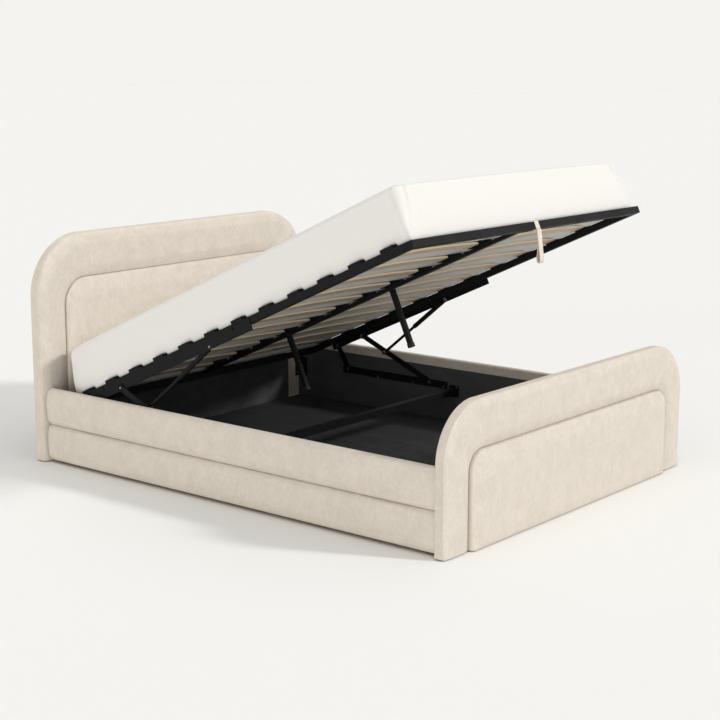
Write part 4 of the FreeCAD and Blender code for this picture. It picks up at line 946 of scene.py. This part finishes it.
def speckle_group():
    """Fine speckle of a coated or moulded surface, with broad faint clouds of wear over it."""
    group, start, end = new_group("Fine speckle", (("Vector", "NodeSocketVector", None),
                                                   ("Scale", "NodeSocketFloat", 400.0)),
                                  (("Speckle", "NodeSocketFloat"), ("Cloud", "NodeSocketFloat"),
                                   ("Height", "NodeSocketFloat")))
    noise = add_node(group, "ShaderNodeTexNoise")
    set_inputs(noise, Detail=2.0, Roughness=0.6)
    group.links.new(start.outputs["Vector"], noise.inputs["Vector"])
    group.links.new(start.outputs["Scale"], noise.inputs["Scale"])
    wear = scaled_noise(group, start.outputs["Vector"], (1.0, 1.0, 1.0), 7.0, 5.0)
    cloud = spread_out(group, wear, 0.35, 0.7)
    speckle = spread_out(group, noise.outputs["Fac"], 0.35, 0.68)
    group.links.new(speckle, end.inputs["Speckle"])
    group.links.new(cloud, end.inputs["Cloud"])
    group.links.new(noise.outputs["Fac"], end.inputs["Height"])
    return group


def shared_group(name, build):
    """A node group by name, built on its first use."""
    return bpy.data.node_groups.get(name) or build()


def new_material(name):
    """A material with its tree, its Principled shader and its Object coordinates."""
    material = bpy.data.materials.new(name)
    material.use_nodes = True
    tree = material.node_tree
    shader = tree.nodes["Principled BSDF"]
    place = add_node(tree, "ShaderNodeTexCoord")
    return material, tree, shader, place.outputs["Object"]


def use_group(tree, group, vector, **values):
    """A group placed in a material's tree with its vector linked and its values set."""
    node = add_node(tree, "ShaderNodeGroup", node_tree=group)
    tree.links.new(vector, node.inputs["Vector"])
    return set_inputs(node, **values)


def along_platform(tree, place):
    """Object coordinates turned so that Y runs along the tilted platform."""
    mapping = add_node(tree, "ShaderNodeMapping")
    set_inputs(mapping, Rotation=(PLATFORM_TILT, 0.0, 0.0))
    tree.links.new(place, mapping.inputs["Vector"])
    return mapping.outputs["Vector"]


def bump_from(tree, shader, height, strength, distance):
    """Link a height to a shader's normal."""
    bump = add_node(tree, "ShaderNodeBump")
    set_inputs(bump, Strength=strength, Distance=distance)
    tree.links.new(height, bump.inputs["Height"])
    tree.links.new(bump.outputs["Normal"], shader.inputs["Normal"])


def chenille_finish(name, colours):
    """Cream chenille: colour by the lie of its pile, a soft sheen and a fuzzy bump."""
    material, tree, shader, place = new_material(name)
    pile = use_group(tree, shared_group("Chenille pile", pile_group), place)
    colour = mix_colours(tree, pile.outputs["Lie"], opaque(colours.pile_dark), opaque(colours.pile_light))
    tree.links.new(colour, shader.inputs["Base Color"])
    tree.links.new(spread_out(tree, pile.outputs["Lie"], 0.0, 1.0, 0.97, 0.86), shader.inputs["Roughness"])
    set_inputs(shader, Sheen_Weight=0.22, Sheen_Roughness=0.45, Sheen_Tint=(1.0, 0.965, 0.91, 1.0),
               Specular_IOR_Level=0.2)
    bump_from(tree, shader, pile.outputs["Height"], 0.35, 0.0012)
    return material


def ticking_finish(name, colours):
    """White mattress cloth: fine weave along the platform, with faint uneven threads."""
    material, tree, shader, place = new_material(name)
    weave_place = along_platform(tree, place)
    weave = use_group(tree, shared_group("Plain weave", weave_group), weave_place, Threads=260.0)
    shade = tuple(value * 0.95 for value in colours.ticking)
    colour = mix_colours(tree, weave.outputs["Shade"], opaque(shade), opaque(colours.ticking))
    tree.links.new(colour, shader.inputs["Base Color"])
    set_inputs(shader, Roughness=0.9, Sheen_Weight=0.12, Sheen_Roughness=0.5, Specular_IOR_Level=0.25)
    bump_from(tree, shader, weave.outputs["Height"], 0.2, 0.0006)
    return material


def webbing_finish(name, colours):
    """Cream webbing: thick threads across the strap."""
    material, tree, shader, place = new_material(name)
    weave = use_group(tree, shared_group("Plain weave", weave_group), place, Threads=420.0)
    dark = tuple(value * 0.78 for value in colours.webbing)
    colour = mix_colours(tree, weave.outputs["Shade"], opaque(dark), opaque(colours.webbing))
    tree.links.new(colour, shader.inputs["Base Color"])
    set_inputs(shader, Roughness=0.85, Sheen_Weight=0.15, Specular_IOR_Level=0.3)
    bump_from(tree, shader, weave.outputs["Height"], 0.5, 0.0006)
    return material


def speckled_finish(name, colour, lighter, scale, rough, metallic=0.0, bump=0.25, shine=0.12):
    """A coated, moulded or plated finish: colour and roughness vary by speckle and cloud."""
    material, tree, shader, place = new_material(name)
    speckle = use_group(tree, shared_group("Fine speckle", speckle_group), place, Scale=scale)
    pale = tuple(min(1.0, value * lighter) for value in colour)
    blend = blend_of(tree, (speckle.outputs["Speckle"], 0.6), (speckle.outputs["Cloud"], 0.4))
    tree.links.new(mix_colours(tree, blend, opaque(colour), opaque(pale)), shader.inputs["Base Color"])
    tree.links.new(spread_out(tree, speckle.outputs["Cloud"], 0.0, 1.0, rough[0], rough[1]),
                   shader.inputs["Roughness"])
    set_inputs(shader, Metallic=metallic, Specular_IOR_Level=shine)
    bump_from(tree, shader, speckle.outputs["Height"], bump, 0.0004)
    return material


def cut_edge_and_highlight_mask(tree, vector):
    """One at the cut edges of the slats and nought on their faces, from the place along the platform. It
    masks the edges' paler tone, which is partly a painted highlight.

    The place is folded by the spacing of the slats to a distance from the nearest slat's middle.
    """
    first, _last, pitch, half = slat_places("left_slats")
    split = add_node(tree, "ShaderNodeSeparateXYZ")
    tree.links.new(vector, split.inputs["Vector"])
    start = float(PLATFORM_CORNER @ PLATFORM_ALONG) + first - pitch / 2
    from_start = combine(tree, "SUBTRACT", split.outputs["Y"], start)
    folded = combine(tree, "FLOORED_MODULO", from_start, float(pitch))
    away = combine(tree, "ABSOLUTE", combine(tree, "SUBTRACT", folded, float(pitch / 2)), 0.0)
    return spread_out(tree, away, half - EDGE_BLEND[0], half - EDGE_BLEND[1])


def timber_finish(name, light, dark, stretch, layers, edge=None):
    """Wood: grain drawn out along its length, fine pores and the glue lines of its layers.

    With an edge colour, the cut edges of the slats are paler: partly the tone of the cut plies and partly a
    painted highlight.
    """
    material, tree, shader, place = new_material(name)
    vector = along_platform(tree, place)
    grain = spread_out(tree, scaled_noise(tree, vector, stretch, 26.0, 6.0, 0.6), 0.32, 0.7)
    pores = spread_out(tree, scaled_noise(tree, vector, stretch, 150.0, 2.0), 0.4, 0.62)
    wave = add_node(tree, "ShaderNodeTexWave", wave_type="BANDS", bands_direction="Z")
    set_inputs(wave, Scale=layers, Distortion=0.8, Detail=1.0)
    tree.links.new(vector, wave.inputs["Vector"])
    blend = blend_of(tree, (grain, 0.5), (pores, 0.25), (wave.outputs["Fac"], 0.25))
    colour = mix_colours(tree, blend, opaque(dark), opaque(light))
    # Cut edges painted paler than the faces: partly the plies' own tone, partly a painted highlight
    if edge:
        layer = spread_out(tree, wave.outputs["Fac"], 0.0, 1.0, 0.0, 0.3)
        plies_and_highlight = mix_colours(tree, layer, opaque(edge), opaque(light))
        colour = mix_colours(tree, cut_edge_and_highlight_mask(tree, vector), colour, plies_and_highlight)
    tree.links.new(colour, shader.inputs["Base Color"])
    tree.links.new(spread_out(tree, grain, 0.0, 1.0, 0.62, 0.48), shader.inputs["Roughness"])
    bump_from(tree, shader, pores, 0.15, 0.0004)
    return material


def lining_finish(name, colour):
    """Black lining board: matt film with a fine fibre and faint scuffs."""
    material, tree, shader, place = new_material(name)
    fibre = scaled_noise(tree, place, (1.0, 1.0, 1.0), 520.0, 3.0)
    scuff = spread_out(tree, scaled_noise(tree, place, (1.0, 0.5, 1.6), 9.0, 6.0, 0.6), 0.4, 0.75)
    blend = blend_of(tree, (fibre, 0.5), (scuff, 0.5))
    pale = tuple(value * 1.7 for value in colour)
    tree.links.new(mix_colours(tree, blend, opaque(colour), opaque(pale)), shader.inputs["Base Color"])
    tree.links.new(spread_out(tree, scuff, 0.0, 1.0, 0.88, 0.72), shader.inputs["Roughness"])
    set_inputs(shader, Specular_IOR_Level=0.3)
    bump_from(tree, shader, fibre, 0.25, 0.0005)
    return material


def shared_material(name, build, *values):
    """A material by name, built on its first use."""
    return bpy.data.materials.get(name) or build(name, *values)


# Operators


def make_board(end, panel_node, cloth_node, corner, panel_corner, edge_roll):
    """Border, raised panel and stapled cloth of one end of the bed."""
    scene = bpy.context.scene
    sizes = scene.bed_padding
    chenille = shared_material("Cream chenille", chenille_finish, scene.bed_colours)
    border_node = end + "_border_cover"
    low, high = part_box(border_node)
    outer_sizes, opening_sizes = board_arches(border_node, panel_node)
    outer = arch_line(*outer_sizes, corner)
    opening = arch_line(*opening_sizes, panel_corner + SEAM_GAP)
    face = low[1] + sizes.border_fill
    profile = border_profile(sizes, high[1] - face, edge_roll)
    surface = border_surface(opening, outer, profile, face)
    border = make_piece(end + "_padded_border", [(surface, True)], ends=True)
    dress(border, chenille, "base", [border_node])
    panel = make_piece(end + "_padded_panel", panel_grids(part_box(panel_node), panel_corner, sizes))
    dress(panel, chenille, "base", [panel_node])
    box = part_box(cloth_node)
    cloth = make_piece(end + "_stapled_cloth", sheet_grids(box, corner))
    dress(cloth, chenille, "base", [cloth_node])


class BED_OT_headboard(bpy.types.Operator):
    """Make the padded headboard: arched border, raised panel and back cloth"""

    bl_idname = "bed.headboard"
    bl_label = "Headboard"

    def execute(self, context):
        sizes = context.scene.bed_padding
        make_board("headboard", "headboard_inset_panel", "headboard_back_cover", sizes.headboard_corner,
                   sizes.headboard_panel_corner, sizes.headboard_roll)
        return {"FINISHED"}


class BED_OT_footboard(bpy.types.Operator):
    """Make the padded footboard: arched border, raised panel and inner cloth"""

    bl_idname = "bed.footboard"
    bl_label = "Footboard"

    def execute(self, context):
        sizes = context.scene.bed_padding
        make_board("footboard", "footboard_raised_panel", "footboard_inner_cover", sizes.footboard_corner,
                   sizes.footboard_panel_corner, sizes.footboard_roll)
        return {"FINISHED"}


class BED_OT_rails(bpy.types.Operator):
    """Make the two padded channels of each side rail"""

    bl_idname = "bed.rails"
    bl_label = "Rail padding"

    def execute(self, context):
        sizes = context.scene.bed_padding
        chenille = shared_material("Cream chenille", chenille_finish, context.scene.bed_colours)
        core_low, core_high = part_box("right_rail_board")
        lining_low, lining_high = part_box("right_rail_lining")
        upper_low, upper_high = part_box("right_rail_upper_pad")
        lower_low, lower_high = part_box("right_rail_lower_pad")
        clear = CORE_CLEARANCE
        places = rail_places(upper_low[1], upper_high[1], sizes.channel_end)
        draw = end_draw(places, upper_low[1], upper_high[1], sizes.channel_end, sizes.channel_draw)
        upper = upper_section(sizes, lining_low[0], core_low[0] - clear, core_high[0] + clear, upper_high[0],
                              lining_high[2] + clear, core_high[2] + clear, upper_high[2], upper_low[2])
        lower = lower_section(sizes, core_high[0] + clear, lower_high[0], lower_low[2], lower_high[2])
        for side, sign in (("left", -1.0), ("right", 1.0)):
            for level, section in (("upper", upper), ("lower", lower)):
                surface = channel_surface(section, places, draw, sign)
                piece = make_piece("%s_rail_%s_channel" % (side, level), [(surface, True)], ends=True)
                node = "%s_rail_%s_pad" % (side, level)
                dress(piece, chenille, "base", [node])
        return {"FINISHED"}


class BED_OT_filling(bpy.types.Operator):
    """Swell the padded boards and rails with a short cloth simulation"""

    bl_idname = "bed.filling"
    bl_label = "Filling of the padding"

    def execute(self, context):
        sizes = context.scene.bed_padding
        rows = []
        for end in ("headboard", "footboard"):
            rows.append((end + "_padded_panel", 1, -1.0, HELD_BOARD_DEPTH, sizes.panel_fill))
            rows.append((end + "_padded_border", 1, -1.0, HELD_BOARD_DEPTH, sizes.border_fill))
        for side, sign in (("left", -1.0), ("right", 1.0)):
            for level in ("upper", "lower"):
                name = "%s_rail_%s_channel" % (side, level)
                rows.append((name, 0, sign, HELD_RAIL_DEPTH, sizes.channel_fill))
        fill_pieces(rows)
        return {"FINISHED"}


class BED_OT_mattress(bpy.types.Operator):
    """Make the mattress on the tilted platform"""

    bl_idname = "bed.mattress"
    bl_label = "Mattress"

    def execute(self, context):
        ticking = shared_material("Mattress ticking", ticking_finish, context.scene.bed_colours)
        piece = make_piece("mattress_with_cover", mattress_grids(context.scene.bed_mattress))
        dress(piece, ticking, "platform", ["mattress"])
        return {"FINISHED"}


class BED_OT_pull_strap(bpy.types.Operator):
    """Make the webbing band round the foot tube and the loop that hangs from it"""

    bl_idname = "bed.pull_strap"
    bl_label = "Pull strap"

    def execute(self, context):
        sizes = context.scene.bed_strap
        webbing = shared_material("Cream webbing", webbing_finish, context.scene.bed_colours)
        profile = webbing_profile(sizes.width, sizes.thickness)
        line = loop_line(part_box("pull_strap"), sizes.thickness)
        loop = make_piece("strap_hanging_loop", [(webbing_surface(line, profile), True)], ends=True)
        dress(loop, webbing, "pull_strap", ["pull_strap"])
        band_line = wrap_line(sizes, *platform_span("strap_wrap"))
        band = make_piece("strap_band", [(webbing_surface(band_line, profile), True)], ends=True)
        dress(band, webbing, "platform", ["strap_wrap"])
        return {"FINISHED"}

    @staticmethod
    def length_of(line):
        """Length of a line of points."""
        return float(np.linalg.norm(np.diff(line, axis=0), axis=1).sum())


class BED_OT_steel(bpy.types.Operator):
    """Give the steel frame, the lift linkage and its bolts their finishes"""

    bl_idname = "bed.steel"
    bl_label = "Steel and bolts"

    def execute(self, context):
        colours = context.scene.bed_colours
        coat = shared_material("Black powder coat", speckled_finish, tuple(colours.steel), 1.9, 520.0,
                               (0.55, 0.66))
        zinc = shared_material("Zinc plate", speckled_finish, tuple(colours.zinc), 1.25, 300.0, (0.32, 0.5),
                               1.0, 0.1)
        finish_nodes(("left_side_tube", "right_side_tube", "head_tube", "foot_tube", "centre_rail",
                      "head_support_leg", "foot_support_leg", "left_upper_bracket", "right_upper_bracket",
                      "left_rear_link", "right_rear_link", "left_front_link", "right_front_link",
                      "left_strut_cylinder", "right_strut_cylinder", "left_strut_rod", "right_strut_rod",
                      "corner_brackets", "spreader_bar", "left_hinge_base_plate", "right_hinge_base_plate",
                      "upper_bracket_bolts"), coat)
        finish_nodes(("frame_bolts", "base_pivot_pins", "upper_pivot_pins", "strut_rod_pins"), zinc)
        return {"FINISHED"}


class BED_OT_slats(bpy.types.Operator):
    """Give the sprung slats, their holders, the plugs and the feet their finishes"""

    bl_idname = "bed.slats"
    bl_label = "Slats and holders"

    def execute(self, context):
        colours = context.scene.bed_colours
        # The birch finish paints the slats' cut edges paler, partly as a painted highlight
        birch = shared_material("Birch slats", timber_finish, tuple(colours.birch_light),
                                tuple(colours.birch_dark), (0.09, 1.0, 1.0), 150.0,
                                tuple(colours.birch_edge_and_highlight))
        moulded = shared_material("Moulded holders", speckled_finish, tuple(colours.holder), 2.0, 800.0,
                                  (0.5, 0.62))
        rubber = shared_material("Rubber feet", speckled_finish, tuple(colours.rubber), 1.6, 600.0,
                                 (0.75, 0.9))
        finish_nodes(("left_slats", "right_slats"), birch)
        finish_nodes(("left_slat_caps", "right_slat_caps", "centre_slat_caps", "tube_end_plugs",
                      "glide_feet"), moulded)
        finish_nodes(("leg_feet",), rubber)
        return {"FINISHED"}


class BED_OT_storage_box(bpy.types.Operator):
    """Give the linings, the storage floor and the wooden cores their finishes"""

    bl_idname = "bed.storage_box"
    bl_label = "Storage box"

    def execute(self, context):
        colours = context.scene.bed_colours
        lining = shared_material("Black lining", lining_finish, tuple(colours.lining))
        box_floor = shared_material("Black box floor", lining_finish, tuple(colours.box_floor))
        dark = tuple(value * 0.72 for value in colours.plywood)
        plywood = shared_material("Plywood", timber_finish, tuple(colours.plywood), dark,
                                  (1.0, 0.12, 1.0), 60.0)
        finish_nodes(("left_rail_lining", "right_rail_lining", "head_lining_panel", "foot_lining_panel"),
                     lining)
        finish_nodes(("floor_panel_head", "floor_panel_foot"), box_floor)
        finish_nodes(("headboard_board", "footboard_board", "left_rail_board", "right_rail_board",
                      "floor_ledgers", "centre_floor_batten"), plywood)
        return {"FINISHED"}


class BED_OT_stage(bpy.types.Operator):
    """Make the floor, the light and the camera"""

    bl_idname = "bed.stage"
    bl_label = "Studio"

    def execute(self, context):
        studio = context.scene.bed_studio
        self.make_floor(studio)
        self.make_world(context.scene, studio)
        for kind in ("key", "side", "top"):
            self.make_light(kind, studio)
        self.make_camera(context.scene, studio)
        context.scene.view_settings.view_transform = "Standard"
        return {"FINISHED"}

    @staticmethod
    def make_floor(studio):
        """A wide flat matt floor. It takes shadows but casts none, so light can come up off it."""
        reach = np.linspace(-FLOOR_REACH, FLOOR_REACH, 3)
        x, y = np.meshgrid(reach, reach, indexing="ij")
        grid = np.stack([x, y, np.full(x.shape, -FLOOR_DROP)], axis=-1)
        mesh = bpy.data.meshes.new("studio_floor")
        mesh.from_pydata(grid.reshape(-1, 3).tolist(), [], quads_of(*x.shape, 0, False).tolist())
        floor = bpy.data.objects.new("studio_floor", mesh)
        bpy.context.scene.collection.objects.link(floor)
        material, _tree, shader, _place = new_material("Studio floor")
        set_inputs(shader, Base_Color=opaque(studio.floor), Roughness=1.0, Specular_IOR_Level=0.0)
        mesh.materials.append(material)
        floor.visible_shadow = False

    @staticmethod
    def make_world(scene, studio):
        """Even room light, with the backdrop's colour for camera, glossy and transmission rays."""
        world = bpy.data.worlds.new("Studio room")
        world.use_nodes = True
        tree = world.node_tree
        room = tree.nodes["Background"]
        set_inputs(room, Color=(1.0, 1.0, 1.0, 1.0), Strength=studio.room_light)
        seen = set_inputs(add_node(tree, "ShaderNodeBackground"), Color=opaque(studio.backdrop))
        path = add_node(tree, "ShaderNodeLightPath")
        direct = combine(tree, "MAXIMUM", path.outputs["Is Camera Ray"], path.outputs["Is Glossy Ray"])
        direct = combine(tree, "MAXIMUM", direct, path.outputs["Is Transmission Ray"])
        choice = add_node(tree, "ShaderNodeMixShader")
        tree.links.new(direct, choice.inputs["Fac"])
        tree.links.new(room.outputs["Background"], choice.inputs[1])
        tree.links.new(seen.outputs["Background"], choice.inputs[2])
        tree.links.new(choice.outputs["Shader"], tree.nodes["World Output"].inputs["Surface"])
        scene.world = world

    @staticmethod
    def make_light(kind, studio):
        """A soft far light at its height over the horizon and its heading from the foot end to the right."""
        name = kind.capitalize() + " light"
        light = bpy.data.lights.new(name, "SUN")
        light.energy = getattr(studio, kind + "_strength")
        light.angle = getattr(studio, kind + "_spread")
        lamp = bpy.data.objects.new(name, light)
        height = getattr(studio, kind + "_height")
        lamp.rotation_euler = (math.pi / 2 - height, 0.0, getattr(studio, kind + "_heading"))
        bpy.context.scene.collection.objects.link(lamp)

    @staticmethod
    def make_camera(scene, studio):
        """The camera at the viewing angle, with no shift and no blur."""
        data = bpy.data.cameras.new("Studio camera")
        data.sensor_width = SENSOR_WIDTH
        data.lens = studio.lens
        data.clip_end = SIGHT
        camera = bpy.data.objects.new("Studio camera", data)
        camera.location = studio.camera_place
        camera.rotation_euler = (math.pi / 2 - studio.camera_dip, 0.0, studio.camera_turn)
        scene.collection.objects.link(camera)
        scene.camera = camera


class BED_PT_sidebar(bpy.types.Panel):
    """Sidebar panel that lists the bed's operators and settings"""

    bl_idname = "BED_PT_sidebar"
    bl_label = "Storage bed"
    bl_space_type = "VIEW_3D"
    bl_region_type = "UI"
    bl_category = "Storage bed"

    def draw(self, context):
        column = self.layout.column(align=True)
        for operator in OPERATORS:
            column.operator(operator.bl_idname)
        for name in SETTINGS:
            group = getattr(context.scene, name)
            box = self.layout.box()
            for key in group.__annotations__:
                box.prop(group, key)


OPERATORS = (BED_OT_headboard, BED_OT_footboard, BED_OT_rails, BED_OT_filling, BED_OT_mattress,
             BED_OT_pull_strap, BED_OT_steel, BED_OT_slats, BED_OT_storage_box, BED_OT_stage)
SETTINGS = {"bed_padding": PaddingSizes, "bed_mattress": MattressSizes, "bed_strap": StrapSizes,
            "bed_colours": FinishColours, "bed_studio": StudioSettings}


def register():
    """Register the properties, the operators and the panel."""
    for name, group in SETTINGS.items():
        bpy.utils.register_class(group)
        setattr(bpy.types.Scene, name, PointerProperty(type=group))
    for operator in OPERATORS:
        bpy.utils.register_class(operator)
    bpy.utils.register_class(BED_PT_sidebar)


def unregister():
    """Take back what register added."""
    bpy.utils.unregister_class(BED_PT_sidebar)
    for operator in reversed(OPERATORS):
        bpy.utils.unregister_class(operator)
    for name, group in reversed(list(SETTINGS.items())):
        delattr(bpy.types.Scene, name)
        bpy.utils.unregister_class(group)


def main():
    """Make the bed's looks step by step."""
    register()
    bpy.ops.bed.headboard()
    bpy.ops.bed.footboard()
    bpy.ops.bed.rails()
    bpy.ops.bed.filling()
    bpy.ops.bed.mattress()
    bpy.ops.bed.pull_strap()
    bpy.ops.bed.steel()
    bpy.ops.bed.slats()
    bpy.ops.bed.storage_box()
    bpy.ops.bed.stage()


if __name__ == "__main__":
    main()
